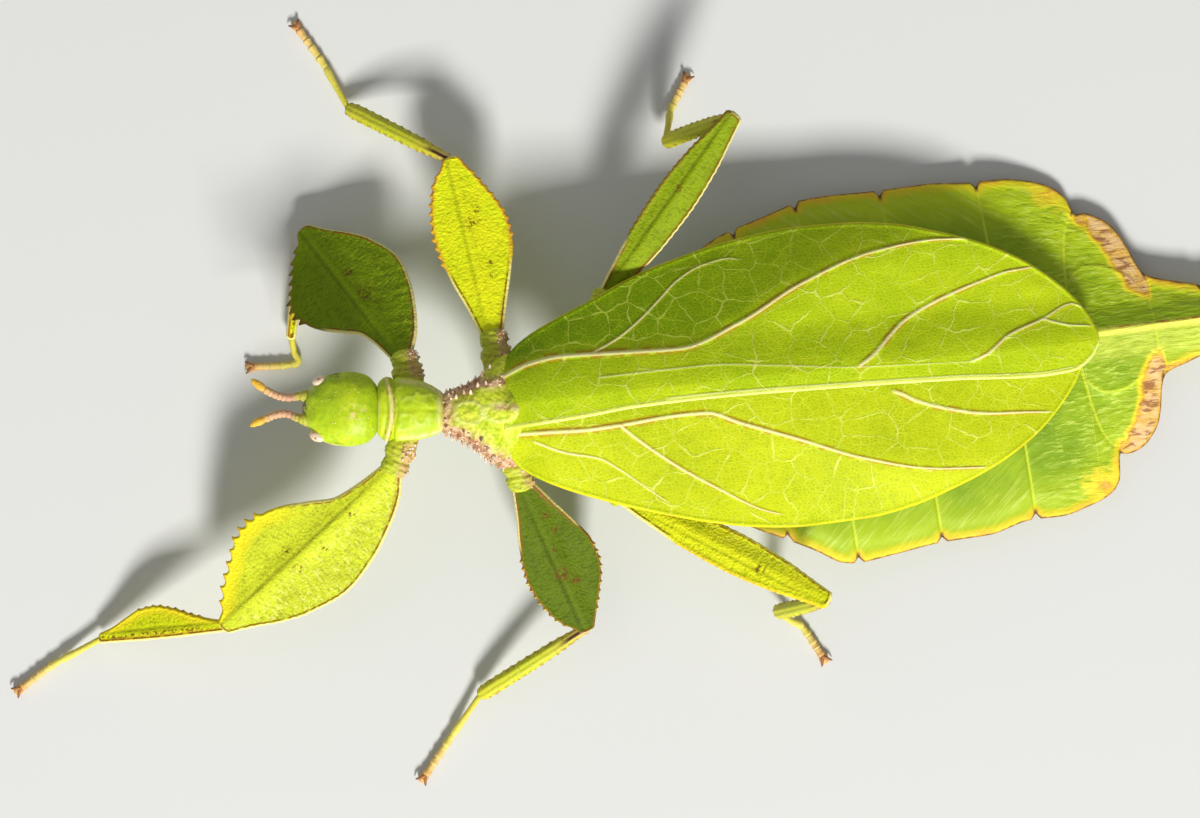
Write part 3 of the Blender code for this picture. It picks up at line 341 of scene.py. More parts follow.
class Field:
    """A number, place or colour that varies over a piece. Fields add, subtract and multiply like numbers."""

    def __init__(self, made, socket):
        self.made, self.socket = made, socket

    def __add__(self, other):
        return self.made.math("ADD", self, other)

    def __sub__(self, other):
        return self.made.math("SUBTRACT", self, other)

    def __mul__(self, other):
        return self.made.math("MULTIPLY", self, other)

    def ramp(self, low, high, start=0.0, end=1.0):
        """A smooth rise from start at low to end at high."""
        return self.made.add("ShaderNodeMapRange", {"Value": self, "From Min": low, "From Max": high,
                                                    "To Min": start, "To Max": end},
                             interpolation_type="SMOOTHSTEP")

    def line(self, half_width, soft=0.5):
        """1 along the middle of a line, where the field is 0, fading out at half its width."""
        near, far = half_width * (1 - soft), half_width * (1 + soft)
        return self.made.math("ABSOLUTE", self).ramp(near, far, 1.0, 0.0)

    def vector(self, operation, other):
        return self.made.add("ShaderNodeVectorMath", {0: self, 1: other}, operation=operation)

    def stretch(self, x, y, z=1.0):
        return self.vector("MULTIPLY", (x, y, z))

    def moved(self, x, y, z=0.0):
        return self.vector("ADD", (x, y, z))

    def noise(self, size, detail=3.0, rough=0.55, output="Fac"):
        """Smooth noise, its features about size millimetres across."""
        return self.made.add("ShaderNodeTexNoise", {"Vector": self, "Scale": 1 / size, "Detail": detail,
                                                    "Roughness": rough}, output)

    def wander(self, size, amount):
        """The same place, moved about a little."""
        push = self.noise(size, 2.0, 0.5, "Color").vector("SUBTRACT", (0.5, 0.5, 0.5))
        return self.vector("ADD", push.stretch(amount, amount, amount))

    def cells(self, size, feature="F1", dimensions="2D"):
        return self.made.add("ShaderNodeTexVoronoi", {"Vector": self, "Scale": 1 / size}, "Distance",
                             feature=feature, voronoi_dimensions=dimensions)

    def axis(self, k=0):
        return self.made.add("ShaderNodeSeparateXYZ", {0: self}, k)


class Finish:
    """A material under construction: tones are laid one over the other, each where a field says so."""

    def __init__(self, name, roughness=0.45, subsurface=0.0, specular=0.5, coat=0.0):
        self.material = bpy.data.materials.new(name)
        self.material.use_nodes = True
        self.tree = self.material.node_tree
        self.sockets = self.tree.nodes["Principled BSDF"].inputs
        self.colour = None
        given = {"Roughness": roughness, "Specular IOR Level": specular, "Coat Weight": coat,
                 "Coat Roughness": 0.25}
        if subsurface:
            given.update({"Subsurface Weight": subsurface, "Subsurface Radius": (0.5, 0.7, 0.15),
                          "Subsurface Scale": 0.0007})
        for socket, amount in given.items():
            self.sockets[socket].default_value = amount

    def add(self, kind, inputs, output=0, **settings):
        node = self.tree.nodes.new(kind)
        for setting, choice in settings.items():
            setattr(node, setting, choice)
        for socket, given in inputs.items():
            self.feed(node.inputs[socket], given)
        return Field(self, node.outputs[output])

    def feed(self, socket, given):
        if isinstance(given, Field):
            self.tree.links.new(given.socket, socket)
        elif isinstance(given, tuple) and socket.type == "RGBA":
            socket.default_value = (*given, 1.0)
        else:
            socket.default_value = given

    def marks(self, *names):
        """Numbers that the piece carries at each point."""
        return [self.add("ShaderNodeAttribute", {}, "Fac", attribute_name=name) for name in names]

    def place(self, name="place"):
        """A place in millimetres that the piece carries at each point."""
        return self.add("ShaderNodeAttribute", {}, "Vector", attribute_name=name)

    def where(self):
        """Object coordinates in millimetres."""
        return self.add("ShaderNodeTexCoord", {}, "Object").stretch(1 / METRES, 1 / METRES, 1 / METRES)

    def math(self, operation, a, b=0.0, clamp=False):
        return self.add("ShaderNodeMath", {0: a, 1: b}, operation=operation, use_clamp=clamp)

    def mix(self, share, a, b):
        return self.add("ShaderNodeMix", {0: share, 6: a, 7: b}, 2, data_type="RGBA", clamp_factor=True)

    def lay(self, tone, share=None):
        """Lays a tone over what is there already, as far as share says."""
        self.colour = tone if share is None else self.mix(share, self.colour, tone)

    def finish(self, height=None, depth=0.05, roughness=None):
        """Joins the colour, the height in millimetres and the roughness to the shader."""
        self.feed(self.sockets["Base Color"], self.colour)
        if roughness is not None:
            self.feed(self.sockets["Roughness"], roughness)
        if height is not None:
            normal = self.add("ShaderNodeBump",
                              {"Height": height, "Distance": depth * METRES, "Strength": 1.0})
            self.feed(self.sockets["Normal"], normal)
        return self.material


# Colours, linear red, green and blue
LEAF = (0.400, 0.560, 0.006)
LEAF_DEEP = (0.200, 0.340, 0.003)
LEAF_LIGHT = (0.560, 0.690, 0.010)
# LEAF_SHADED is painted shade and LEAF_LIT painted light on the leaf green
LEAF_SHADED = (0.125, 0.250, 0.002)
LEAF_LIT = (0.700, 0.760, 0.090)
WARM_LEAF = (0.460, 0.535, 0.005)
WARM_LIGHT = (0.620, 0.675, 0.008)
NET_GREEN = (0.640, 0.740, 0.040)
# NET_LIT and NET_SHADED: the wing net's tone outside and inside the painted shade
NET_LIT = (0.780, 0.820, 0.140)
NET_SHADED = (0.560, 0.660, 0.070)
COMBED_GREEN = (0.780, 0.820, 0.170)
VEIN_CREAM = (0.840, 0.800, 0.340)
VEIN_BROWN = (0.460, 0.210, 0.010)
SILK_GREEN = (0.680, 0.740, 0.130)
CRIMP_GREEN = (0.680, 0.800, 0.120)
KEEL_YELLOW = (0.800, 0.780, 0.100)
BLUSH_YELLOW = (0.880, 0.720, 0.030)
RIM_YELLOW = (0.800, 0.660, 0.015)
CREAM_EDGE = (0.860, 0.760, 0.300)
AMBER = (0.800, 0.460, 0.030)
PEACH = (0.890, 0.590, 0.270)
PINK = (0.740, 0.470, 0.300)
RUST = (0.420, 0.150, 0.012)
STREAK_BROWN = (0.300, 0.100, 0.030)
EDGE_BROWN = (0.160, 0.050, 0.010)
DARK_BROWN = (0.075, 0.022, 0.010)
DOT_BROWN = (0.200, 0.060, 0.010)
SPOT_BROWN = (0.150, 0.045, 0.008)
ROOT_BROWN = (0.360, 0.150, 0.050)
LINE_BROWN = (0.240, 0.090, 0.010)
CREAM_PATCH = (0.840, 0.720, 0.300)
WART_TAN = (0.620, 0.360, 0.170)
HIP_FOLD = (0.220, 0.240, 0.010)
HIP_CREST = (0.760, 0.740, 0.100)
DOT_YELLOW = (0.840, 0.840, 0.160)
CHEEK_CREAM = (0.860, 0.660, 0.260)
WRINKLE_GREEN = (0.660, 0.760, 0.100)
COLLAR_CREAM = (0.860, 0.700, 0.340)
THORAX_YELLOW = (0.760, 0.760, 0.060)
THORAX_BROWN = (0.420, 0.200, 0.080)
SHIELD_CREAM = (0.800, 0.780, 0.260)
KNOB_PINK = (0.860, 0.680, 0.520)
KNOB_BROWN = (0.500, 0.240, 0.130)
EYE_PINK = (0.780, 0.520, 0.340)
EYE_CREAM = (0.860, 0.720, 0.500)
PUPIL_BROWN = (0.260, 0.100, 0.060)


def wing_finish(side):
    """Leaf-green membrane with cream veins, a fine net between them and a thin yellow rim, darkened by painted
    shade where the shade mark says so.
    """
    made = Finish(f"wing_{side}_leaf", 0.5, 0.12, 0.1)
    base, light = (LEAF, LEAF_LIGHT) if side == "right" else (WARM_LEAF, WARM_LIGHT)
    place = made.place()
    rim, inner, root, shade = made.marks("rim", "inner", "root", "shade")
    bent = place.wander(2.4, 0.9).wander(0.7, 0.35)
    streaks = place.wander(1.2, 0.8).stretch(0.6, 2.6).noise(0.8, 4.0, 0.65)
    creases = place.wander(0.9, 0.9).stretch(2.4, 1.1).noise(0.7, 3.0, 0.6)
    made.lay(made.mix(place.noise(9.0, 2.0).ramp(0.3, 0.7), base, light))
    made.lay(light, streaks.ramp(0.45, 0.8, 0.0, 0.45))
    made.lay(LEAF_DEEP, streaks.ramp(0.5, 0.2, 0.0, 0.4))
    made.lay(LEAF_DEEP, creases.ramp(0.48, 0.3, 0.0, 0.3))
    made.lay(light, place.axis().ramp(28.0, 46.0, 0.0, 0.45))
    # Painted shade: the shade mark darkens the wing towards LEAF_SHADED
    made.lay(LEAF_SHADED, shade * 0.9)
    grain_gap = place.wander(0.5, 0.22).stretch(1.0, 1.35).cells(0.36, "DISTANCE_TO_EDGE")
    grain = grain_gap.ramp(0.03, 0.2, 1.0, 0.0)
    made.lay(made.mix(shade, light, LEAF), grain * place.noise(1.3, 2.0).ramp(0.36, 0.62, 0.18, 0.5))
    made.lay(LEAF_DEEP, grain_gap.ramp(0.22, 0.42, 0.0, 0.3))
    fine = bent.cells(1.0, "DISTANCE_TO_EDGE").ramp(0.02, 0.075, 1.0, 0.0)
    fine = fine * place.noise(2.2, 2.0).ramp(0.4, 0.62, 0.12, 0.55)
    # Where the painted shade lies, the grain stays plainer, the fine net fainter and the coarse net shows more
    # and darker
    made.lay(NET_GREEN, fine * shade.ramp(0.0, 1.0, 1.0, 0.5))
    net_seen = place.moved(31.0, 7.0).noise(3.0, 2.0).ramp(0.4, 0.64, 0.14, 0.78)
    net_seen = made.math("MAXIMUM", net_seen, shade * 0.75) * root.ramp(0.2, 0.9, 1.0, 0.15)
    thick = place.moved(5.0, 40.0).noise(1.4, 2.0).ramp(0.4, 0.68, 0.008, 0.036)
    cell_edges = bent.stretch(0.85, 1.0).cells(2.4, "DISTANCE_TO_EDGE")
    net = (cell_edges - thick).ramp(0.0, 0.012, 1.0, 0.0) * net_seen
    made.lay(made.mix(shade, NET_LIT, NET_SHADED), net)
    combed = place.stretch(0.12, 2.4).noise(0.3, 2.0).ramp(0.35, 0.55, 0.35, 1.0)
    made.lay(COMBED_GREEN, inner.ramp(0.0, 0.35, 0.0, 0.8) * combed)
    patches = place.noise(1.5, 3.0, 0.6).ramp(0.42, 0.54)
    for vein, (_, half_width, brown) in VEINS[side].items():
        offset, present = made.marks(f"{vein}_offset", f"{vein}_present")
        if brown:
            made.lay(VEIN_BROWN, offset.line(half_width * 2.4, 0.4) * present * (patches * (brown * 0.85)))
        made.lay(VEIN_CREAM, offset.line(half_width, 0.4) * present * (0.95 if half_width > 0.07 else 0.6))
    rim_tone = made.mix(place.noise(3.1, 2.0).ramp(0.5, 0.62), RIM_YELLOW, AMBER)
    rim_tone = made.mix(inner.ramp(0.2, 0.6), rim_tone, VEIN_CREAM)
    made.lay(rim_tone, rim.ramp(0.05, 0.2, 0.6, 0.0) * root.ramp(0.1, 0.6, 1.0, 0.0))
    height = fine * 0.25 + net * 0.6 + (streaks + creases) * 0.4 - grain * 0.14
    return made.finish(height, 0.06, streaks.ramp(0.3, 0.7, 0.5, 0.62))


def abdomen_finish():
    """Green lobed plates, silky towards the margin, with a yellow and rust rim and dark notches, and painted
    light and shade across the back and beside the keel.
    """
    made = Finish("abdomen_leaf", 0.52, 0.1, 0.28)
    place, fibre = made.place(), made.place("fibre")
    rim, seam, blush, fold, keel = made.marks("rim", "seam", "blush", "fold", "keel")
    silk = fibre.wander(1.2, 0.35).noise(1.0, 5.0, 0.7)
    crimp = place.wander(0.9, 0.5).stretch(0.7, 3.4).noise(1.0, 3.0, 0.6)
    along, to_right = place.axis().ramp(42.0, 49.0), place.axis(1)
    made.lay(made.mix(place.noise(6.0, 3.0).ramp(0.3, 0.7), LEAF_DEEP, LEAF))
    made.lay(LEAF_LIGHT, rim.ramp(0.6, 5.0, 0.75, 0.0))
    # Painted shade darkens the left half and painted light lifts the right half
    made.lay(LEAF_DEEP, to_right.ramp(0.5, -0.5, 0.0, 0.3))
    made.lay(LEAF_LIGHT, to_right.ramp(-0.5, 0.5, 0.0, 0.25))
    made.lay(SILK_GREEN, silk.ramp(0.5, 0.72) * rim.ramp(0.4, 6.5, 0.75, 0.12))
    made.lay(CRIMP_GREEN, crimp.ramp(0.52, 0.66, 0.0, 0.6) * along)
    made.lay(LEAF_DEEP, crimp.ramp(0.46, 0.34, 0.0, 0.6) * along)
    made.lay(LEAF_DEEP, silk.ramp(0.42, 0.25, 0.0, 0.35))
    made.lay(NET_GREEN, seam.line(0.12) * 0.8)
    made.lay(NET_GREEN, fold.line(0.13) * 0.7)
    uneven = place.noise(0.8, 3.0, 0.6)
    wide_rim, thin_rim = rim + uneven * -0.55, rim + uneven * -0.2
    made.lay(RIM_YELLOW, wide_rim.ramp(0.0, 0.8, 0.9, 0.0))
    ambered = place.moved(3.0, 11.0).noise(2.4, 3.0).ramp(0.42, 0.6)
    made.lay(AMBER, wide_rim.ramp(-0.1, 0.45, 0.75, 0.0) * ambered)
    ragged = (crimp - 0.5) * 0.5 + (place.noise(1.7, 3.0) - 0.5) * 0.7
    blushed = blush + ragged * blush.ramp(0.05, 0.3)
    made.lay(BLUSH_YELLOW, blushed.ramp(0.2, 0.42, 0.0, 0.9))
    made.lay(AMBER, blushed.ramp(0.45, 0.62))
    peached = place.moved(21.0, 5.0).noise(1.3, 3.0, 0.6).ramp(0.36, 0.6, 0.35, 0.95)
    made.lay(PEACH, blushed.ramp(0.6, 0.8) * peached)
    streak = fibre.stretch(1.2, 0.8).noise(0.7, 4.0, 0.65)
    made.lay(STREAK_BROWN, streak.ramp(0.5, 0.62) * blushed.ramp(0.45, 0.75, 0.0, 0.85))
    made.lay(AMBER, rim.ramp(0.12, 0.4, 0.9, 0.0) * blush.ramp(0.3, 0.6))
    made.lay(made.mix(uneven.ramp(0.42, 0.56), RUST, EDGE_BROWN), thin_rim.ramp(-0.05, 0.12, 0.9, 0.0))
    # Painted light on a band left of the keel, painted shade on a strip right of it
    lit = keel.ramp(-3.2, -2.2) * keel.ramp(0.05, -0.2, 0.0, 0.6)
    made.lay(LEAF_LIT, lit * crimp.ramp(0.3, 0.6, 0.5, 1.0))
    made.lay(LEAF_DEEP, keel.ramp(0.05, 0.3) * keel.ramp(2.4, 1.0, 0.0, 0.55))
    made.lay(KEEL_YELLOW, (keel + 0.3).line(0.35, 0.6) * 0.8)
    made.lay(RUST, (keel + 0.02).line(0.12) * crimp.ramp(0.44, 0.56) * 0.9)
    made.lay(DARK_BROWN, seam.line(0.17, 0.7) * rim.ramp(0.15, 0.6, 0.9, 0.0))
    return made.finish(silk + crimp * along, 0.1, silk.ramp(0.3, 0.7, 0.58, 0.45))


def lobe_finish(name, base, reach=0.3, tips=RUST, gaps=RIM_YELLOW, silk=None, dotted=False):
    """Grainy lobe of a leg, its toothed front yellow for reach inwards, the rest edged cream and brown."""
    made = Finish(name, 0.58, 0.06, 0.1)
    place = made.place()
    rim, along, front, across, tooth, spots = made.marks("rim", "along", "front", "across", "tooth", "spots")
    pale = tuple(min(0.86, part * 1.25) for part in base)
    deep = tuple(part * 0.55 for part in base)
    grain = place.wander(0.4, 0.12).cells(0.21, "SMOOTH_F1")
    threads = place.wander(1.1, 0.6).stretch(2.4, 0.8).noise(0.6, 4.0, 0.68)
    broad = place.noise(3.0, 3.0)
    made.lay(made.mix(broad.ramp(0.3, 0.7), base, pale))
    made.lay(pale, grain.ramp(0.5, 0.15, 0.0, 0.35))
    made.lay(deep, threads.ramp(0.52, 0.34, 0.0, 0.66))
    if silk:
        fibres = place.wander(0.6, 0.4).stretch(2.6, 0.75).noise(0.62, 4.0, 0.7)
        made.lay(silk, fibres.ramp(0.5, 0.66, 0.0, 0.8) * across.ramp(-0.1, -0.9))
    made.lay(deep, (across - 0.42).line(0.17, 0.7) * along.ramp(0.05, 0.4, 0.15, 0.55))
    made.lay(pale, (across + 0.02).line(0.24, 0.7) * 0.4)
    ribs = made.math("SINE", (across + broad * 0.3) * 9.5)
    made.lay(pale, ribs.ramp(0.3, 0.9) * (across + 0.55).line(0.7) * 0.4)
    uneven = place.noise(0.9, 3.0, 0.6)
    inward = made.math("DIVIDE", rim + uneven * (-0.7 * reach), reach)
    made.lay(gaps, inward.ramp(0.0, 1.0, 0.95, 0.0) * front)
    if dotted:
        made.lay(AMBER, across.ramp(0.05, -0.3, 0.0, 0.7))
        dots = place.moved(9.0, 4.0).noise(0.4, 2.0).ramp(0.48, 0.56)
        made.lay(DOT_BROWN, dots * across.line(0.16) * along.ramp(0.1, 0.2) * 0.85)
    made.lay(SPOT_BROWN, spots * place.wander(0.3, 0.2).noise(0.3, 3.0).ramp(0.46, 0.56) * 0.9)
    root = along.ramp(0.34, 0.08) * (rim + uneven * 0.9).ramp(1.25, 0.6) * across.ramp(-0.2, -0.6)
    made.lay(ROOT_BROWN, root * place.noise(0.3, 3.0, 0.6).ramp(0.4, 0.56) * 0.9)
    browned = place.noise(0.8, 3.0, 0.6).ramp(0.36, 0.52, 0.2, 1.0)
    plain = front.ramp(0.6, 0.1)
    made.lay(LINE_BROWN, (rim - 0.27).line(0.08) * (plain * browned) * 0.85)
    made.lay(CREAM_EDGE, rim.ramp(0.12, 0.2, 0.9, 0.0) * plain)
    margin = (rim + uneven * -0.25).ramp(0.0, 0.16, 1.0, 0.0) * front
    made.lay(made.mix(0.3, gaps, RUST), margin * (browned * 0.8))
    made.lay(tips, tooth.ramp(0.5, 0.8) * rim.ramp(0.24, 0.12) * front)
    return made.finish(threads * 0.8 - grain, 0.055, grain.ramp(0.2, 0.8, 0.52, 0.66))


def banded_finish(name, stops, dark, size=0.5, specked=0.75, edged=False, warty=False):
    """A slim limb that runs through colours at shares of its length, with fine specks.

    A shin has dotted edges too, and a hip has warts and cross folds.
    """
    made = Finish(name, 0.52, 0.06, 0.3)
    place = made.place()
    along, = made.marks("along")
    uneven = place.noise(size, 4.0, 0.65)
    shift = along + (uneven - 0.5) * 0.25
    made.lay(stops[0][1])
    for (start, _), (end, tone) in zip(stops, stops[1:]):
        made.lay(tone, shift.ramp(start, end))
    # Pale cream patches at random
    made.lay(CREAM_PATCH, uneven.ramp(0.55, 0.75, 0.0, 0.4))
    made.lay(dark, place.stretch(1.6, 1.0).noise(size * 0.55, 3.0, 0.6).ramp(0.58, 0.68) * specked)
    if edged:
        edge, crown = made.marks("edge", "crown")
        dashes = place.stretch(1.0, 0.2).noise(0.45, 2.0).ramp(0.46, 0.56)
        made.lay(dark, edge * (dashes * 0.85))
        made.lay(DARK_BROWN, crown.ramp(0.2, 0.7) * along.ramp(0.3, 0.16))
    if warty:
        warts, = made.marks("knobs")
        made.lay(WART_TAN, warts * place.noise(0.45, 3.0, 0.6).ramp(0.36, 0.58, 0.35, 1.0))
        folds = place.wander(0.8, 0.5).stretch(3.2, 0.7).noise(0.6, 3.0, 0.6)
        made.lay(HIP_FOLD, folds.ramp(0.5, 0.36, 0.0, 0.6))
        made.lay(HIP_CREST, folds.ramp(0.56, 0.7, 0.0, 0.7))
    return made.finish(uneven, 0.09)


def head_finish():
    """Smooth green with many tiny yellow dots."""
    made = Finish("head_green", 0.46, 0.1, 0.35)
    place = made.where()
    stain, pale = made.marks("stain", "pale")
    broad = place.noise(2.5, 3.0)
    made.lay(made.mix(broad.ramp(0.3, 0.7), LEAF, LEAF_LIGHT))
    made.lay(LEAF_DEEP, place.noise(0.35, 3.0, 0.6).ramp(0.55, 0.35, 0.0, 0.35))
    dots = place.cells(0.42, "F1", "3D").ramp(0.13, 0.24, 1.0, 0.0) * place.noise(1.1, 2.0).ramp(0.42, 0.56)
    made.lay(DOT_YELLOW, dots * 0.9)
    made.lay(DARK_BROWN, stain * place.noise(0.5, 3.0).ramp(0.35, 0.6))
    made.lay(CHEEK_CREAM, pale * place.noise(0.45, 3.0).ramp(0.5, 0.62))
    return made.finish(dots + broad * 0.4, 0.05)


def pronotum_finish():
    """Green shield with a cream rim and a pinkish cream ridge across its front."""
    made = Finish("pronotum_green", 0.48, 0.1, 0.32)
    place = made.where()
    stain, pale = made.marks("stain", "pale")
    fine = place.stretch(1.6, 0.8).noise(0.5, 4.0, 0.65)
    made.lay(made.mix(place.noise(2.0, 3.0).ramp(0.3, 0.7), LEAF, LEAF_LIGHT))
    made.lay(WRINKLE_GREEN, fine.ramp(0.5, 0.75, 0.0, 0.55))
    made.lay(COLLAR_CREAM, pale * fine.ramp(0.35, 0.6, 0.3, 1.0))
    made.lay(RUST, stain * fine.ramp(0.4, 0.6))
    return made.finish(fine, 0.06)


def thorax_finish():
    """Green in the middle, pink and brown along the rough side ridges."""
    made = Finish("thorax_rough", 0.55, 0.08, 0.35)
    place = made.where()
    ridge, pale = made.marks("ridge", "pale")
    uneven = place.noise(0.7, 4.0, 0.65)
    fine = place.wander(0.4, 0.2).cells(0.28, "SMOOTH_F1", "3D")
    made.lay(made.mix(uneven.ramp(0.35, 0.65), LEAF_LIGHT, THORAX_YELLOW))
    made.lay(LEAF_DEEP, fine.ramp(0.35, 0.6, 0.0, 0.38))
    pinked = made.math("MULTIPLY", ridge, uneven.ramp(0.3, 0.55, 0.5, 1.3), clamp=True)
    made.lay(made.mix(place.noise(0.5, 3.0).ramp(0.4, 0.6), THORAX_BROWN, PINK), pinked)
    made.lay(SHIELD_CREAM, pale * 0.55)
    return made.finish(fine * -1.0, 0.07)


def knob_finish():
    """Small warts and spines, pink towards their tips."""
    made = Finish("knob_pink", 0.45, 0.1, 0.5)
    place = made.where()
    made.lay(made.mix(place.noise(0.5, 3.0).ramp(0.38, 0.62), KNOB_BROWN, KNOB_PINK))
    return made.finish(place.noise(0.12, 2.0), 0.02)


def eye_finish():
    """Glossy pinkish white with fine facets and a dark false pupil."""
    made = Finish("eye_pearl", 0.2, 0.15, 0.5, 0.6)
    place = made.where()
    made.lay(made.mix(place.noise(0.35, 2.0).ramp(0.4, 0.65), EYE_PINK, EYE_CREAM))
    made.lay(PUPIL_BROWN, *made.marks("pupil"))
    return made.finish(place.cells(0.07, "F1", "3D") * -1.0, 0.012)


def turned(start, turn, s, t):
    """Flat place on the ground of a point s along an axis and t to its right."""
    c, n = math.cos(turn), math.sin(turn)
    return start[0] + s * c - t * n, start[1] + s * n + t * c


def along_back(x, y):
    """How far along the abdomen's axis a flat place lies."""
    c, n = math.cos(BACK_TURN), math.sin(BACK_TURN)
    dx, dy = x - BACK_START[0], y - BACK_START[1]
    return dx * c + dy * n + BACK_SKEW * (dy * c - dx * n)


def ridge_z(s):
    return RIDGE_START_Z - RIDGE_FALL * s + RIDGE_LEVELLING * s * s


def back_z(s, t):
    """Height of the back: a low roof either side of the ridge, which sharpens to a keel behind the wings."""
    slope = np.where(t > 0, RIGHT_SLOPE, LEFT_SLOPE) * through(SLOPE_FADE, s)
    keel = smoothstep(44, 52, s)
    radius = CROWN_RADIUS + (KEEL_RADIUS - CROWN_RADIUS) * keel
    drop = slope * (np.hypot(t, radius) - radius)
    beside = np.where(t > 0, 0.75, 0.12) * keel * (1 - smoothstep(60, 66, s))
    return ridge_z(s) - drop - beside * (1 - np.exp(-(np.abs(t) / 1.5) ** 1.5))


def segment_marks(s):
    """Share of a notch, signed distance to the nearest segment end, and each plate's rise to its rear."""
    ends = np.array([*SEGMENT_ENDS, TAIL_START, TAIL_SEGMENT])
    gap = s[:, None] - ends[None]
    nearest = gap[np.arange(len(s)), np.abs(gap).argmin(1)]
    notch = np.clip(1 - np.abs(gap[:, :5]).min(1) / NOTCH_LENGTH, 0, 1)
    marks = np.array([ABDOMEN_FRONT, *ends, TIP_END])
    k = np.clip(np.searchsorted(marks, s, side="right") - 1, 0, len(marks) - 2)
    part = (s - marks[k]) / (marks[k + 1] - marks[k])
    lift = PLATE_STEP * part**2 * (1 - smoothstep(0.965, 1.0, part))
    return notch, nearest, lift


def seam_bow(s, t):
    """The last broad seams start nearer the head in the middle than at the margin."""
    return s + through(SEAM_BOW, np.abs(t)) * smoothstep(43.8, 46.5, s) * (1 - smoothstep(52.8, 54.6, s))


def make_abdomen():
    """The whole abdomen as one skin, from under the thorax to the tail's tip."""
    rows = np.unique(np.concatenate([spread(ABDOMEN_FRONT - 0.5, TIP_END, 0.32, 0.12)]
                                    + [np.linspace(end - 0.7, end + 0.7, 11) for end in SEGMENT_ENDS]).round(3))
    right, left = (through(reach, rows) - NOTCH_DEPTH * segment_marks(rows)[0]
                   for reach in (REACH_RIGHT, REACH_LEFT))
    across = spread(-1, 1, 2 / 138, 0.42)
    t = np.where(across > 0, across * right[:, None], across * left[:, None])
    s = rows[:, None] + 0 * t
    x, y = turned(BACK_START, BACK_TURN, s - BACK_SKEW * t, t)
    rim = from_margin(s, t, rows, right, -left)
    closing = rounded(rim, ABDOMEN_ROUNDING)
    wave = 0.09 * rough(s, t, 0 * s, 3.0, 1) * smoothstep(0.2, 3, rim)
    puff = 0.12 * smoothstep(0.1, 1.4, rim) - 0.1 * bump(rim - 1.1, 0.5)
    seam = seam_bow(s, t)
    seam_gap, lift = (grid.reshape(s.shape) for grid in segment_marks(seam.ravel())[1:])
    fold_here = smoothstep(49.6, 50.1, s) * smoothstep(55.9, 55.3, s)
    fold = np.abs(t) - through(FOLD_LINE, s)
    crease = -0.06 * bump(seam_gap, 0.16) * smoothstep(0.2, 1, rim)
    crease += (0.1 * bump(fold, 0.22) + 0.1 * smoothstep(0.5, -0.3, fold)) * fold_here
    crease += 0.035 * rough(s * 0.5, t * 3.2, 0 * s, 1.0, 9) * smoothstep(40, 47, s)
    crease += 0.12 * bump(t + 0.15, 0.22) * smoothstep(50.5, 52.5, s)
    back = back_z(s, t)
    under = np.clip(1 - (t / through(BELLY_WIDTH, s)) ** 2, 0, 1)
    depth = MARGIN_THICKNESS + (through(BELLY_DEPTH, s) - MARGIN_THICKNESS) * under**0.8
    middle = back - MARGIN_THICKNESS / 2
    top = back + lift + (wave + puff + crease) * smoothstep(0, 0.4, rim)
    bottom = back - depth + 0.07 * bump(seam_gap, 0.3) * smoothstep(0, 2, rim)
    top, bottom = (middle + (z - middle) * closing for z in (top, bottom))
    blush = smoothstep(3.1, 0.9, rim) * smoothstep(51.6, 53.4, s) * smoothstep(57.5, 56.7, s)
    blush = np.maximum(blush,
                       0.6 * smoothstep(1.0, 0.2, rim) * smoothstep(56.6, 57, s) * smoothstep(62, 59, s))
    for corner_s, corner_t, size, deep in BLUSHED_CORNERS:
        blush = np.maximum(blush, deep * bump(np.hypot(s - corner_s, t - corner_t), size))
    lean = np.interp(s, [0, 44, 53, 66], [0, 37, 41, 41])
    marks = {"place": np.stack([s, t, 0 * s], -1), "rim": rim, "seam": seam_gap, "blush": blush,
             "keel": np.where(s > 50, t, 9.0), "fold": np.where(fold_here > 0.3, fold, 9.0),
             "fibre": np.stack([0.3 * s, 1.6 * (np.abs(t) + lean), np.sign(t) * 40], -1)}
    above, below = (np.stack([x, y, z], -1) for z in (top, np.maximum(bottom, 0.0)))
    piece = skin_of_sheet("abdomen_skin", above, below,
                          marks, MATERIALS["abdomen"])
    belongs(piece, "body_green", "abdomen", "abdomen_tip")


def outside_fold(s, t, side):
    """How far outside its main vein a place on a wing lies, and how far it is from the body's middle."""
    away = np.maximum(0.0, t if side == "right" else -t)
    return away - through(FOLD[side], s), away


def wing_z(s, t, side):
    """Middle height of a closed forewing: nearly flat inside its main vein, falling outside it."""
    x, y = turned(WING_START, WING_TURN, s, t)
    beyond, away = outside_fold(s, t, side)
    soft = 0.5 * (beyond + np.hypot(beyond, 0.8))
    z = ridge_z(along_back(x, y)) + WING_CLEARANCE + through(WING_ARCH, s)
    z = z - WING_INNER_SLOPE * away - (through(STEEP[side], s) - WING_INNER_SLOPE) * soft
    if side == "right":
        z = z + WING_OVERLAP_LIFT * (1 - smoothstep(-0.2, 4.5, t))
    return z - WING_ROOT_SINK * smoothstep(4.5, 0.0, s)


def vein_marks(points, s, t):
    """Offset across a vein, widened as it thins towards its end, and whether the vein is there."""
    first, last = points[0][0], points[-1][0]
    slope = (through(points, s + 0.05) - through(points, s - 0.05)) / 0.1
    offset = (t - through(points, s)) / np.hypot(1, slope)
    thinning = np.interp(s, [first, (first + last) / 2, last], [1.2, 1.0, 0.5])
    present = smoothstep(first - 0.25, first + 0.25, s) * smoothstep(last + 0.3, last - 0.5, s)
    return offset / thinning, present


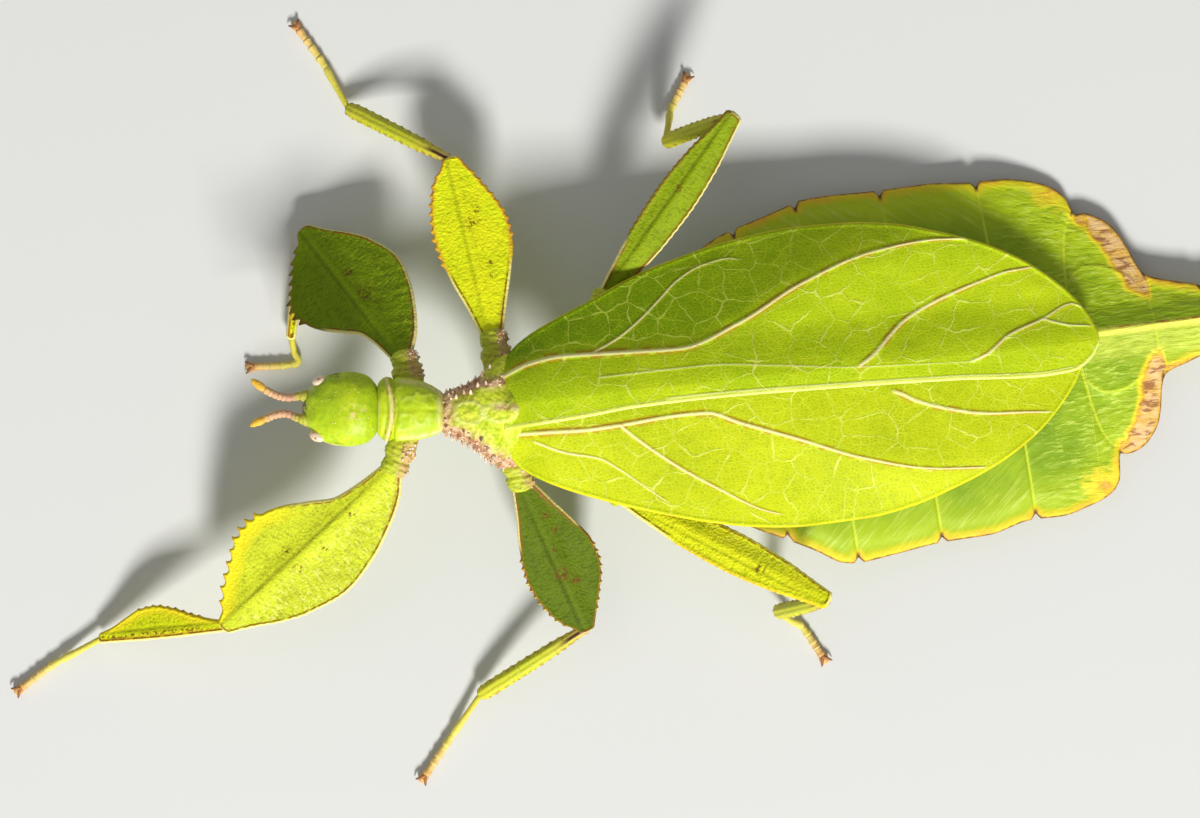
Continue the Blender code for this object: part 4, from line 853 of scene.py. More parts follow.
def make_wing(side):
    """A closed forewing like half a leaf, its main veins raised on the membrane."""
    outer, inner, right = WING_OUTER[side], WING_INNER[side], side == "right"
    rows = spread(outer[0][0], outer[-1][0], 0.165, 0.35)
    edge_out, edge_in = through(outer, rows), through(inner, rows)
    t = edge_in[:, None] + (edge_out - edge_in)[:, None] * spread(0, 1, 1 / 124, 0.25)
    s = rows[:, None] + 0 * t
    rim = from_margin(s, t, rows, edge_out, edge_in)
    closing = rounded(rim, WING_ROUNDING)
    x, y = turned(WING_START, WING_TURN, s, t)
    middle = wing_z(s, t, side)
    fall = np.abs(wing_z(s, t + 0.5, side) - wing_z(s, t - 0.5, side))
    half = 0.5 * WING_THICKNESS * np.hypot(1, fall)
    beyond = outside_fold(s, t, side)[0]
    # Painted shade, partly the wing's own deeper green: the right wing darker outside its main vein towards the
    # front, the left wing a little darker inside its main vein
    shade = smoothstep(0.0, 1.6, beyond) * np.interp(s, [0, 10, 24, 38], [1.0, 0.9, 0.55, 0.15])
    marks = {"place": np.stack([s, t + (0 if right else 60), 0 * s], -1), "rim": rim,
             "shade": shade if right else 0.2 * smoothstep(1.5, -1.0, beyond),
             "inner": smoothstep(0.5, 0.1, np.abs(t - edge_in[:, None])) if right else 0 * s,
             "root": smoothstep(5.0, 0.5, s)}
    ridges = 0 * s
    for vein, (points, width, _) in VEINS[side].items():
        offset, present = vein_marks(points, s, t)
        height = VEIN_HEIGHT * (width / 0.13) ** 1.2
        ridges = np.maximum(ridges, height * bump(offset, width * 1.3) * present)
        ridges -= 0.02 * bump(np.abs(offset) - 2.6 * width, width) * present
        marks[f"{vein}_offset"], marks[f"{vein}_present"] = offset, present
    wave = (0.1 * rough(s, t, 0 * s, 3.2, 2) + 0.035 * rough(s, t, 0 * s, 1.1, 3)) * smoothstep(0, 1.5, rim)
    top = middle + (half + ridges + 0.06 * bump(rim - 0.22, 0.14)) * closing + wave
    bottom = middle - half * closing + wave
    piece = skin_of_sheet(f"wing_{side}_leaf", np.stack([x, y, top], -1), np.stack([x, y, bottom], -1), marks,
                          MATERIALS[f"wing_{side}"])
    belongs(piece, "wing_green", f"wing_{side}")


# Leaf-like lobes: reach in front of and behind the leg's own axis, along its length from 0 to 1
LOBE_HALF = 0.2
LOBE_ROUNDING = 0.2
LOBE_END = 0.35
FORE_LOBE = {"front": [(0, 0.9), (0.12, 1.1), (0.26, 1.6), (0.36, 2.9), (0.45, 4.1), (0.53, 4.8),
                       (0.62, 5.1), (0.7, 4.8), (0.79, 3.7), (0.9, 2.3), (0.96, 1.2), (1, 0.8)],
             "rear": [(0, 1.0), (0.07, 2.2), (0.185, 3.4), (0.34, 4.5), (0.495, 5.0), (0.7, 4.1),
                      (0.815, 3.0), (0.917, 1.7), (1, 0.8)],
             "front_teeth": (0.54, 0.96, 9, 0.6), "rear_teeth": (0.5, 0.95, 14, 0.06), "rod": 0.8,
             "pleats": 0.035,
             "yellow": (0.36, 0.56), "rear_toothed": 0.0}
MID_LOBE = {"front": [(0, 0.9), (0.18, 1.6), (0.35, 2.4), (0.5, 2.85), (0.6, 3.0), (0.7, 2.85), (0.8, 2.5),
                      (0.9, 1.9), (0.96, 1.2), (1, 0.8)],
            "rear": [(0, 0.9), (0.18, 1.9), (0.36, 2.95), (0.5, 3.55), (0.6, 3.55), (0.7, 3.2), (0.82, 2.3),
                     (0.94, 1.3), (1, 0.8)],
            "front_teeth": (0.42, 0.95, 11, 0.32), "rear_teeth": (0.5, 0.93, 9, 0.24), "rod": 0.72,
            "pleats": 0.015,
            "yellow": (0.3, 0.5), "rear_toothed": 1.0}
HIND_LOBE = {"front": [(0, 0.7), (0.15, 1.15), (0.35, 1.6), (0.55, 1.75), (0.75, 1.5), (0.9, 1.05),
                       (1, 0.8)],
             "rear": [(0, 0.7), (0.15, 1.2), (0.35, 1.65), (0.55, 1.8), (0.75, 1.55), (0.9, 1.1), (1, 0.8)],
             "front_teeth": (0.3, 0.92, 18, 0.1), "rear_teeth": (0.3, 0.92, 16, 0.06), "rod": 0.72,
             "pleats": 0.0,
             "yellow": (0.2, 0.4), "rear_toothed": 0.0}
FORE_SHIN = {"front": [(0, 0.5), (0.1, 0.75), (0.25, 1.3), (0.4, 2.0), (0.55, 2.35), (0.68, 2.15),
                       (0.8, 1.5), (0.92, 0.8), (1, 0.5)],
             "rear": [(0, 0.5), (0.5, 0.6), (1, 0.5)],
             "front_teeth": (0.16, 0.7, 9, 0.16), "rear_teeth": (0.25, 0.75, 4, 0.0), "rod": 0.5,
             "pleats": 0.0,
             "yellow": (0.0, 0.05), "rear_toothed": 0.0}
FORE_SHIN_RIGHT = dict(FORE_SHIN, front=[(0, 0.5), (0.1, 0.75), (0.25, 1.3), (0.4, 1.9), (0.52, 1.8),
                                         (0.62, 1.2), (0.72, 0.65), (0.82, 0.45),
                                         (1, 0.4)], front_teeth=(0.2, 0.65, 6, 0.12))
# Brown spots on the thighs: share of the length, place across it and size
SPOTS = {"fore_left": [(0.59, -0.64, 0.4), (0.58, 1.17, 0.3), (0.26, -0.33, 0.3), (0.45, -1.0, 0.25)],
         "fore_right": [(0.45, -0.85, 0.6), (0.61, -0.7, 0.4)],
         "mid_left": [(0.61, 0.0, 0.52), (0.68, -0.95, 0.42), (0.34, -1.03, 0.3), (0.24, -0.8, 0.28),
                      (0.45, -0.3, 0.2)],
         "mid_right": [(0.63, -0.32, 0.45), (0.7, -1.11, 0.26), (0.4, -1.2, 0.2), (0.33, -1.17, 0.2),
                       (0.5, -0.2, 0.16)],
         "hind_left": [(0.69, 0.28, 0.4)], "hind_right": [(0.6, 0.3, 0.3)]}
SHIN_RADII = [(0, 0.42), (0.12, 0.4), (0.3, 0.5), (0.6, 0.55), (0.9, 0.56), (0.97, 0.48), (1, 0.36)]
SHIN_BOW = 0.35
HIP_SINK = 0.75
HIP_RIDGES = 0.022
HIP_RIDGE_STEP = 0.5
HIP_WARTS = {"Density": 5.0e6, "Smallest": 0.00007, "Largest": 0.00016, "Height": 1.2}
HIP_RADII = [(0, 1.15), (0.4, 1.1), (0.62, 1.2), (0.72, 0.98), (0.8, 1.08), (1, 0.95)]

# Legs: hip root on the thorax, thigh start, knee, ankle, bend of the foot and its tip
LEGS = {
    "fore_left": ([(-15.9, -0.6, 11.2), (-17.4, -5.0, 10.8), (-32.3, -18.7, 6.2), (-43.7, -20.1, 1.2),
                   (-48.3, -22.6, 0.5), (-51.0, -24.6, 0.42)], FORE_LOBE, FORE_SHIN, 4),
    "fore_right": ([(-15.7, 0.4, 11.2), (-16.6, 4.3, 10.6), (-25.8, 15.5, 2.3), (-27.1, 6.4, 1.2),
                    (-26.8, 4.0, 0.5), (-30.5, 3.7, 0.42)], FORE_LOBE, FORE_SHIN_RIGHT, 0),
    "mid_left": ([(-8.2, -1.5, 10.3), (-6.7, -6.3, 9.2), (-1.2, -19.0, 4.2), (-10.5, -25.1, 1.2),
                  (-13.4, -29.3, 0.5), (-15.4, -32.3, 0.42)], MID_LOBE, None, 0),
    "mid_right": ([(-8.3, 1.5, 10.3), (-9.1, 6.1, 9.2), (-12.8, 21.4, 6.5), (-22.1, 26.4, 1.2),
                   (-24.5, 30.6, 0.5), (-26.6, 33.5, 0.42)], MID_LOBE, None, 0),
    "hind_left": ([(-2.8, -1.0, 9.0), (1.7, -7.4, 6.6), (19.2, -16.2, 10.8), (15.5, -17.8, 2.0),
                   (17.9, -19.3, 0.5), (19.6, -21.8, 0.42)], HIND_LOBE, None, 10),
    "hind_right": ([(-2.2, 1.8, 9.0), (0.4, 9.6, 7.0), (11.3, 24.8, 10.8), (5.7, 23.4, 2.0),
                    (6.3, 26.5, 0.5), (7.5, 28.9, 0.42)], HIND_LOBE, None, 10),
}
FOOT_JOINTS = [0.0, 0.5, 0.64, 0.78, 0.86, 1.0]
FOOT_RADIUS = 0.38
FOOT_STEP = 0.07
CLAW_LENGTH = 1.15
CLAW_RADIUS = 0.2
CLAW_SPREAD = math.radians(36)
CLAW_CURVE = [(0.45, 0.16), (0.8, 0.06), (1.0, -0.26)]
PAD_RADII = (0.5, 0.42, 0.3)


def saw(u, first, last, count, height):
    """Saw teeth along a margin, each leaning towards the far end."""
    part = (u - first) / (last - first) * count
    tooth = part - np.floor(part)
    rising = np.clip(tooth / 0.62, 0, 1) ** 2.3
    falling = np.clip((1 - tooth) / 0.38, 0, 1) ** 1.6
    sizes = np.random.RandomState(SEED + count).uniform(0.75, 1.0, count + 1)
    size = sizes[np.clip(np.floor(part).astype(int), 0, count)]
    return np.where((u > first) & (u < last), height * size * np.where(tooth < 0.62, rising, falling), 0.0)


def limb_axes(start, end, side, roll):
    """Along the limb, towards its front edge and up out of its flat face."""
    along = (end - start).normalized()
    flat = Vector((along.x, along.y, 0)).normalized()
    front = Vector((flat.y, -flat.x, 0)) if side == "left" else Vector((-flat.y, flat.x, 0))
    up = along.cross(front).normalized()
    if up.z < 0:
        up = -up
    turn = math.radians(roll)
    return along, front * math.cos(turn) + up * math.sin(turn), up * math.cos(turn) - front * math.sin(turn)


def make_lobe(name, start, end, side, roll, lobe, finish, spacing, spots=()):
    """A leaf-like limb segment: a rounded rod along its axis with a thin toothed lobe on each side."""
    start, end = Vector(start), Vector(end)
    along, forward, up = (np.array(axis) for axis in limb_axes(start, end, side, roll))
    length = (end - start).length
    reach = LOBE_END / length
    u = spread(-reach, 1 + reach, 0.095 / length, 0.2)
    closed = np.sqrt(1 - np.clip(np.maximum(-u, u - 1) / reach, 0, 0.97) ** 2)
    front_teeth, rear_teeth = saw(u, *lobe["front_teeth"]), saw(u, *lobe["rear_teeth"])
    ahead = (through(lobe["front"], u) + front_teeth) * closed
    behind = (through(lobe["rear"], u) + rear_teeth) * closed
    across = spread(-1, 1, spacing, 0.4)
    offset = np.where(across > 0, across * ahead[:, None], across * behind[:, None])
    run = u * length
    u = u[:, None] + 0 * offset
    rim = from_margin(u * length, offset, run, ahead, -behind)
    run = u * length
    closing = rounded(rim, LOBE_ROUNDING)

    def uneven(size, seed):
        return rough(run, offset, 0 * u, size, seed)

    crest = lobe["rod"] * (1 - 0.25 * np.abs(2 * u - 1) ** 3)
    half = LOBE_HALF + (crest - LOBE_HALF) * bump(offset, 0.66)
    roof = LOBE_HALF + (0.72 * crest - LOBE_HALF) * bump(offset, 0.95)
    groove = 0.07 * bump(offset - 0.45, 0.17) * smoothstep(0.05, 0.3, u) * smoothstep(0.95, 0.75, u)
    bead = 0.05 * bump(rim - 0.22, 0.13)
    wave = 0.07 * uneven(2.6, 4) * smoothstep(0, 1.2, rim)
    pleat = np.sin((run * 0.85 - offset * 0.5) * 6 + 2.2 * uneven(1.2, 19))
    pleat *= smoothstep(-0.6, 0.6, uneven(1.0, 20))
    grain = 0.02 * uneven(0.34, 5) + 0.03 * uneven(0.9, 8)
    grain += lobe["pleats"] * pleat * smoothstep(-0.3, -1.2, offset) * smoothstep(0.7, 0.4, u)
    base = np.array(start) + along * run[..., None] + forward * offset[..., None]
    top = base + up * ((roof - groove + bead + grain) * closing + wave)[..., None]
    bottom = base - up * ((half + bead) * closing - wave)[..., None]
    spotted = 0 * u
    for spot_u, spot_offset, size in spots:
        spotted = np.maximum(spotted, bump(np.hypot((u - spot_u) * length, offset - spot_offset), size))
    front = np.where(offset > 0, 1.0, lobe["rear_toothed"]) * smoothstep(*lobe["yellow"], u)
    marks = {"place": np.stack([run, offset, 0 * u], -1), "rim": rim, "along": u, "across": offset,
             "front": front * smoothstep(0.2, 0.7, np.abs(offset)),
             "tooth": np.where(offset > 0, front_teeth[:, None] / lobe["front_teeth"][3],
                               rear_teeth[:, None] / max(lobe["rear_teeth"][3], 0.05)),
             "spots": np.clip(spotted * 1.6, 0, 1)}
    return skin_of_sheet(name, top, np.maximum(bottom, [-99, -99, 0.0]), marks, finish)


def make_hip(name, root, hip):
    """A short flat stub with cross ridges between the thorax and the thigh, rough along its rear edge."""
    root, hip = np.array(root), np.array(hip)
    inner = hip + (hip - root) / np.linalg.norm(hip - root) * HIP_SINK
    length = np.linalg.norm(inner - root)

    def reach(share):
        return through(HIP_RADII, share) * np.maximum(rounded((1 - share) * length, 0.5), 0.15)

    def shape(share, angle):
        run, c, n = share * length + 0 * angle, np.cos(angle), np.sin(angle)
        uneven = 1.6 * rough(run, c, n, 1.0, 21)
        ridges = HIP_RIDGES * np.sin(run / HIP_RIDGE_STEP * math.tau + 1.1 * np.sin(angle * 2) + uneven)
        grain = 0.08 * rough(run * 1.4, 2 * c, 2 * n, 0.45, 6)
        return 1 + 0.1 * np.cos(2 * angle) + ridges * smoothstep(0.2, 0.4, share) + grain

    path = root + (inner - root) * np.linspace(0, 1, 80)[:, None]
    piece = limb_skin(name, path, reach, MATERIALS["hip"], 44, shape)
    seen = np.empty(len(piece.data.vertices) * 3)
    piece.data.vertices.foreach_get("co", seen)
    from_axis = seen.reshape(-1, 3) / METRES + ORIGIN - root
    along = (inner - root) / length
    behind = np.array([abs(along[1]), -along[0] * np.sign(along[1]), 0.35])
    warts = smoothstep(0.35, 0.95, (from_axis - np.outer(from_axis @ along, along)) @ behind)
    warts *= smoothstep(0.3, 0.5, from_axis @ along / length)
    piece.data.attributes.new("knobs", "FLOAT", "POINT").data.foreach_set("value", warts.astype(np.float32))
    return piece


def make_shin(name, knee, ankle):
    """A slim shin, keeled along its edges and a little bowed, with a thicker far end."""
    knee, ankle = np.array(knee), np.array(ankle)
    length = np.linalg.norm(ankle - knee)
    u = np.linspace(-0.3 / length, 1 + 0.25 / length, 110)
    path = knee + (ankle - knee) * u[:, None]
    path[:, 2] += SHIN_BOW * np.sin(math.pi * np.clip(u, 0, 1))

    def reach(share):
        ends = rounded(np.minimum(share, 1 - share) * length, 0.35)
        return through(SHIN_RADII, share) * np.maximum(ends, 0.12)

    def shape(share, angle):
        run, c = share * length, np.cos(angle)
        teeth = 0.16 * np.abs(np.sin(run / 0.8 * math.pi)) ** 6 * c**8 * smoothstep(0.1, 0.2, share)
        keels = 0.16 * np.cos(2 * angle) + 0.05 * np.cos(6 * angle)
        return 1 + keels + teeth + 0.03 * rough(run * 1.3, 2 * c, 2 * np.sin(angle), 0.5, 7)

    return limb_skin(name, path, reach, MATERIALS["shin"], 32, shape)


def merge(name, pieces):
    """One mesh object out of several, with their marks kept."""
    for other in bpy.context.scene.objects:
        other.select_set(False)
    for piece in pieces:
        piece.select_set(True)
    bpy.context.view_layer.objects.active = pieces[0]
    bpy.ops.object.join()
    joined = bpy.context.view_layer.objects.active
    joined.name = joined.data.name = name
    joined.select_set(False)
    return joined


def make_pad(name, middle, along):
    """The soft pad between the claws, lying on the ground."""
    share = np.linspace(0.02, 0.98, 12)
    angle = np.linspace(0, math.tau, 20, endpoint=False)
    swing = np.sin(share * math.pi)[:, None]
    long, wide, high = PAD_RADII
    rings = (middle - along * (np.cos(share * math.pi) * long)[:, None, None]
             + np.array([-along[1], along[0], 0]) * (swing * np.cos(angle) * wide)[..., None]
             + np.array([0, 0, 1.0]) * (swing * np.sin(angle) * high)[..., None])
    rings[..., 2] += high - middle[2]
    return skin_of_rings(name, rings, {"along": np.ones(rings.shape[:2]), "place": rings}, MATERIALS["foot"])


def make_foot(name, ankle, bend, tip):
    """A foot of five joints on the ground, with two hooked claws and the soft pad between them."""
    ankle, bend, tip = (np.array(p) for p in (ankle, bend, tip))
    path = even_line([ankle, ankle + (bend - ankle) * 0.55, bend, tip], FOOT_STEP)
    length = len(path) * FOOT_STEP

    def reach(share):
        part = np.interp(share, FOOT_JOINTS, np.arange(len(FOOT_JOINTS)))
        within = np.where(share >= 1, 1.0, part - np.floor(part))
        swell = 0.82 + 0.22 * smoothstep(0.35, 0.92, within)
        swell = swell - 0.3 * bump(within - 1, 0.06) - 0.14 * bump(within, 0.06)
        slim = np.interp(share, [0, 0.3, 0.6, 1.0], [0.86, 0.84, 0.96, 1.0])
        end = rounded(np.minimum(share, 1 - share) * length, 0.3)
        return FOOT_RADIUS * swell * slim * np.maximum(end, 0.15)

    along = path[-1] - path[-8]
    along[2] = 0
    along /= np.linalg.norm(along)
    pieces = [limb_skin(name, path, reach, MATERIALS["foot"], 20)]
    for turn in (CLAW_SPREAD, -CLAW_SPREAD):
        c, n = math.cos(turn), math.sin(turn)
        out = np.array([along[0] * c - along[1] * n, along[0] * n + along[1] * c, 0])
        base = path[-1] - out * 0.2 + [0, 0, 0.05]
        curve = [base + out * CLAW_LENGTH * share + [0, 0, z] for share, z in CLAW_CURVE]
        hook = even_line([base] + curve, 0.05)
        pieces.append(limb_skin(name + "_claw", hook, lambda share: CLAW_RADIUS * (1 - share) ** 0.7 + 0.012,
                                MATERIALS["claw"], 12))
    pieces.append(make_pad(name + "_pad", path[-1] + along * 0.25, along))
    foot = merge(name, pieces)
    for vert in foot.data.vertices:
        vert.co.z = max(vert.co.z, 0.0)
    return foot


def make_legs(knobs):
    """Hips, thighs, shins and feet of all six legs."""
    for leg, (points, lobe, shin_lobe, roll) in LEGS.items():
        side = leg.rsplit("_", 1)[1]
        root, hip, knee, ankle, bend, tip = points
        hip_piece = belongs(make_hip(f"hip_{leg}_skin", root, hip), "hip_tan", f"hip_{leg}")
        grow(f"hip_{leg}_knobs", hip_piece.data, knobs, "hip_tan", **HIP_WARTS)
        thigh = make_lobe(f"thigh_{leg}_skin", hip, knee, side, roll, lobe, MATERIALS[f"thigh_{leg}"],
                          1 / 34 if lobe is HIND_LOBE else 1 / 44, SPOTS[leg])
        belongs(thigh, "lobe_green", f"thigh_{leg}")
        if shin_lobe:
            shin = make_lobe(f"shin_{leg}_skin", knee, ankle, side, 0, shin_lobe,
                             MATERIALS["shin_lobe"], 1 / 24)
        else:
            shin = make_shin(f"shin_{leg}_skin", knee, ankle)
        belongs(shin, "shin_yellow", f"shin_{leg}")
        belongs(make_foot(f"foot_{leg}_skin", ankle, bend, tip), "foot_tan", f"foot_{leg}")


# Head and thorax: stations of (x, middle y, half width, top z, bottom z)
HEAD = [(-25.0, 0.0, 0.7, 12.4, 11.4), (-24.85, 0.0, 1.2, 12.8, 10.9), (-24.4, 0.0, 1.72, 13.4, 10.5),
        (-23.8, 0.0, 2.25, 13.9, 10.2), (-23.2, 0.0, 2.7, 14.15, 10.0), (-22.3, 0.0, 3.02, 14.4, 9.8),
        (-20.9, 0.0, 3.15, 14.6, 9.8),
        (-19.7, 0.0, 2.85, 14.45, 10.0), (-19.0, 0.0, 2.25, 14.0, 10.4), (-18.6, 0.0, 1.3, 13.2, 11.2),
        (-18.5, 0.0, 0.6, 12.6, 11.8)]
PRONOTUM = [(-18.75, 0.0, 1.9, 13.2, 10.8), (-18.62, 0.0, 2.3, 13.5, 10.5), (-18.3, 0.0, 2.6, 13.8, 10.1),
            (-17.7, 0.0, 2.68, 13.9, 9.8), (-17.4, 0.0, 2.5, 13.75, 9.7), (-17.1, 0.0, 2.7, 13.95, 9.5),
            (-15.6, -0.05, 2.58, 14.1, 9.3), (-14.3, -0.15, 2.18, 13.9, 9.3),
            (-13.5, -0.2, 1.75, 13.5, 9.6), (-13.1, -0.2, 1.3, 13.0, 10.2), (-12.95, -0.2, 0.7, 12.6, 10.6)]
MESOTHORAX = [(-13.8, -0.25, 1.0, 12.7, 10.3), (-12.9, -0.3, 1.7, 13.2, 9.6),
              (-11.6, -0.35, 2.2, 13.6, 9.0), (-10.4, -0.4, 3.0, 13.7, 8.7), (-9.4, -0.3, 3.9, 13.6, 8.5),
              (-8.75, -0.2, 4.4, 13.3, 8.4), (-8.0, -0.1, 4.75, 12.4, 8.4), (-7.2, 0.0, 4.8, 12.0, 8.3),
              (-6.1, 0.1, 4.3, 11.8, 8.3)]
METATHORAX = [(-6.4, 0.2, 3.7, 11.6, 8.4), (-4.0, 0.4, 3.5, 11.4, 7.7), (-2.0, 0.6, 3.7, 10.9, 7.1),
              (-0.9, 0.8, 3.9, 10.5, 6.9), (0.0, 0.9, 3.5, 10.0, 6.9)]
EYE_CENTRES = {"right": (-23.5, 2.32, 12.95), "left": (-23.75, -2.3, 12.95)}
EYE_RADII = (0.68, 0.46, 0.5)
EYE_TURN = math.radians(20)

# Spines along the sides of the thorax: place along it and angle round it
SPINES = [(x, first + step * (k % turns)) for start, end, count, first, step, turns in (
    (-12.9, -9.3, 7, 24, 5, 2), (-12.7, -9.6, 6, 46, 6, 2), (-13.0, -8.2, 11, 173, 6, 2),
    (-12.8, -8.5, 10, 150, 9, 2),
    (-12.9, -9.0, 9, 126, 11, 3)) for k, x in enumerate(np.linspace(start, end, count))]
ANTENNAE = {"right": [(-24.2, 1.05, 12.5), (-25.2, 1.1, 12.5), (-26.2, 0.95, 12.5), (-27.2, 1.15, 12.6),
                      (-28.1, 1.6, 12.7), (-28.8, 2.1, 12.8), (-29.3, 2.5, 12.85)],
            "left": [(-24.3, -0.9, 12.5), (-25.4, -0.75, 12.5), (-26.4, -0.4, 12.5), (-27.3, -0.5, 12.6),
                     (-28.2, -0.85, 12.7), (-28.9, -1.15, 12.8), (-29.4, -1.45, 12.85)]}
ANTENNA_JOINTS = [0.0, 0.2, 0.32, 0.4, 0.47, 0.54, 0.61, 0.68, 0.75, 1.0]
ANTENNA_SIZES = [(0, 0.5), (0.1, 0.5), (0.2, 0.42), (0.25, 0.33), (0.5, 0.34), (0.86, 0.34), (0.96, 0.24),
                 (1, 0.08)]
PALP_PARTS = 4
PALP = [(-24.0, 0.95, 10.7), (-24.6, 1.15, 10.1), (-25.0, 1.2, 9.5), (-25.05, 1.15, 8.8), (-24.9, 1.1, 8.3)]
MOUTH = [(-25.15, 0.0, 0.6, 11.4, 10.7), (-24.9, 0.0, 1.15, 11.6, 10.1), (-24.3, 0.0, 1.35, 11.6, 9.4),
         (-23.6, 0.0, 1.3, 11.4, 9.1), (-23.1, 0.0, 0.9, 11.0, 9.2)]
CERCUS = [(61.6, 0.7), (63.0, 0.95), (64.2, 1.05), (65.4, 1.05)]


def body_rings(stations, count, columns, crowd=0.5):
    """Rounded cross-sections through stations, with x, and each point's angle round the body, where 90 is up."""
    x = spread(stations[0][0], stations[-1][0], abs(stations[-1][0] - stations[0][0]) / count, crowd)
    middle, half, top, bottom = (through([(s[0], s[k]) for s in stations], x)[:, None] for k in (1, 2, 3, 4))
    angle = np.linspace(0, math.tau, columns, endpoint=False)[None]
    c, n = np.cos(angle), np.sin(angle)
    y = middle + half * np.sign(c) * np.abs(c) ** 0.86
    z = (top + bottom) / 2 + (top - bottom) / 2 * np.sign(n) * np.abs(n) ** 0.86
    return np.stack([x[:, None] + 0 * y, y, z], -1), angle + 0 * y


def pushed(rings, amount):
    """Rings moved out from their own middles by an amount at each point."""
    middle = rings.mean(1, keepdims=True)
    out = rings - middle
    out[..., 0] = 0
    out /= np.maximum(np.linalg.norm(out, axis=2, keepdims=True), 1e-6)
    return rings + out * amount[..., None]


def make_head():
    rings, angle = body_rings(HEAD, 110, 120)
    x, y, z = np.moveaxis(rings, -1, 0)
    lift = 0.04 * rough(x, y, z, 0.9, 10) + 0.025 * rough(x, y, z, 0.3, 11)
    for sign in (1, -1):
        lift += 0.16 * bump(np.hypot(x + 24.3, y - sign), 0.45)
        lift += 0.1 * bump(np.hypot((x + 23.4) / 1.4, (y - 2.6 * sign)), 0.6) * (z > 12)
    lift -= 0.07 * bump(y, 0.12) * smoothstep(-22, -20.5, x) * smoothstep(-19, -20, x)
    lift -= 0.05 * bump(np.hypot(x + 22.6, (np.abs(y) - 1.1)), 0.6) * (z > 12)
    lift += 0.05 * bump(np.abs(np.degrees(angle) % 180 - 90) - 74, 5)
    stain = smoothstep(-24.55, -24.8, x) * smoothstep(1.1, 0.6, np.abs(y + 0.05))
    stain = np.maximum(stain, bump(x + 22.3, 0.75) * bump(y - 2.82, 0.2) * (z > 12.2))
    stain = np.maximum(stain, 0.6 * bump(x + 22.4, 0.9) * bump(y + 2.85, 0.14) * (z > 12.2))
    pale = bump(np.hypot((x + 20.4) / 1.1, y + 0.25), 0.6) * (z > 12)
    cheek = smoothstep(158, 168, np.degrees(angle)) * smoothstep(196, 182, np.degrees(angle))
    pale = np.maximum(pale, 1.4 * cheek * smoothstep(-24.2, -23.4, x) * smoothstep(-20.3, -21.6, x))
    piece = skin_of_rings("head_skin", pushed(rings, lift), {"stain": stain, "pale": pale}, MATERIALS["head"])
    belongs(piece, "body_green", "head")


def make_pronotum():
    rings, angle = body_rings(PRONOTUM, 130, 130, 0.3)
    x, y, z = np.moveaxis(rings, -1, 0)
    above = smoothstep(11.6, 12.6, z)
    from_ridge = x - (-17.42 - 0.085 * y**2)
    collar = bump(from_ridge, 0.19) * above
    front = bump(x + 18.55 + 0.05 * y**2, 0.14) * above
    side = np.abs(np.degrees(angle) - 90)
    rim = bump(side - 60, 10) * smoothstep(0.7, 1.3, from_ridge) * (z > 11)
    rear = bump(x + 13.45, 0.24) * above
    lift = 0.15 * collar - 0.1 * bump(np.abs(from_ridge) - 0.42, 0.16) * above
    lift = lift + 0.08 * rim + 0.06 * (rear + front)
    plate = above * smoothstep(0.4, 0.9, from_ridge) * smoothstep(-13.4, -13.9, x)
    lift -= 0.08 * bump(y + 0.05, 0.14) * plate
    for pit_x, pit_y in ((-16.2, 0.75), (-16.3, -0.8), (-15.2, 0.5), (-15.0, -0.6), (-14.3, 0.9)):
        lift -= 0.07 * bump(np.hypot(x - pit_x, (y - pit_y) * 0.8), 0.3) * plate
    wrinkles = 1 - np.abs(rough(x * 0.7, y * 1.4, z, 0.75, 12)) * 2
    lift += 0.04 * np.clip(wrinkles, 0, 1) ** 3 * plate + 0.03 * rough(x, y, z, 0.3, 13)
    pale = np.clip(collar + 0.85 * rim + 0.7 * rear + 0.5 * front, 0, 1)
    pale = np.maximum(pale, 0.22 * np.clip(wrinkles, 0, 1) ** 4 * plate)
    stain = 0.85 * bump(np.abs(from_ridge) - 0.24, 0.09) * above
    piece = skin_of_rings("pronotum_skin", pushed(rings, lift), {"pale": pale, "stain": stain},
                          MATERIALS["pronotum"])
    belongs(piece, "body_green", "pronotum")


def thorax_ridge(x, y, z):
    """The rough ridges along the sides of the thorax, which part towards the wing roots."""
    stations = [-13.4, -12.0, -10.6, -9.4, -8.4, -7.2]
    left = np.interp(x, stations, [-1.4, -2.1, -2.8, -3.7, -4.4, -4.8])
    right = np.interp(x, stations, [0.7, 1.7, 1.95, 2.1, 2.35, 2.4])
    near = np.maximum(bump(y - left, 0.75), bump(y - right, 0.5))
    front = smoothstep(-11.6, -13.0, x)
    return np.clip(np.maximum(near, 0.8 * front) * (z > 9.6), 0, 1)


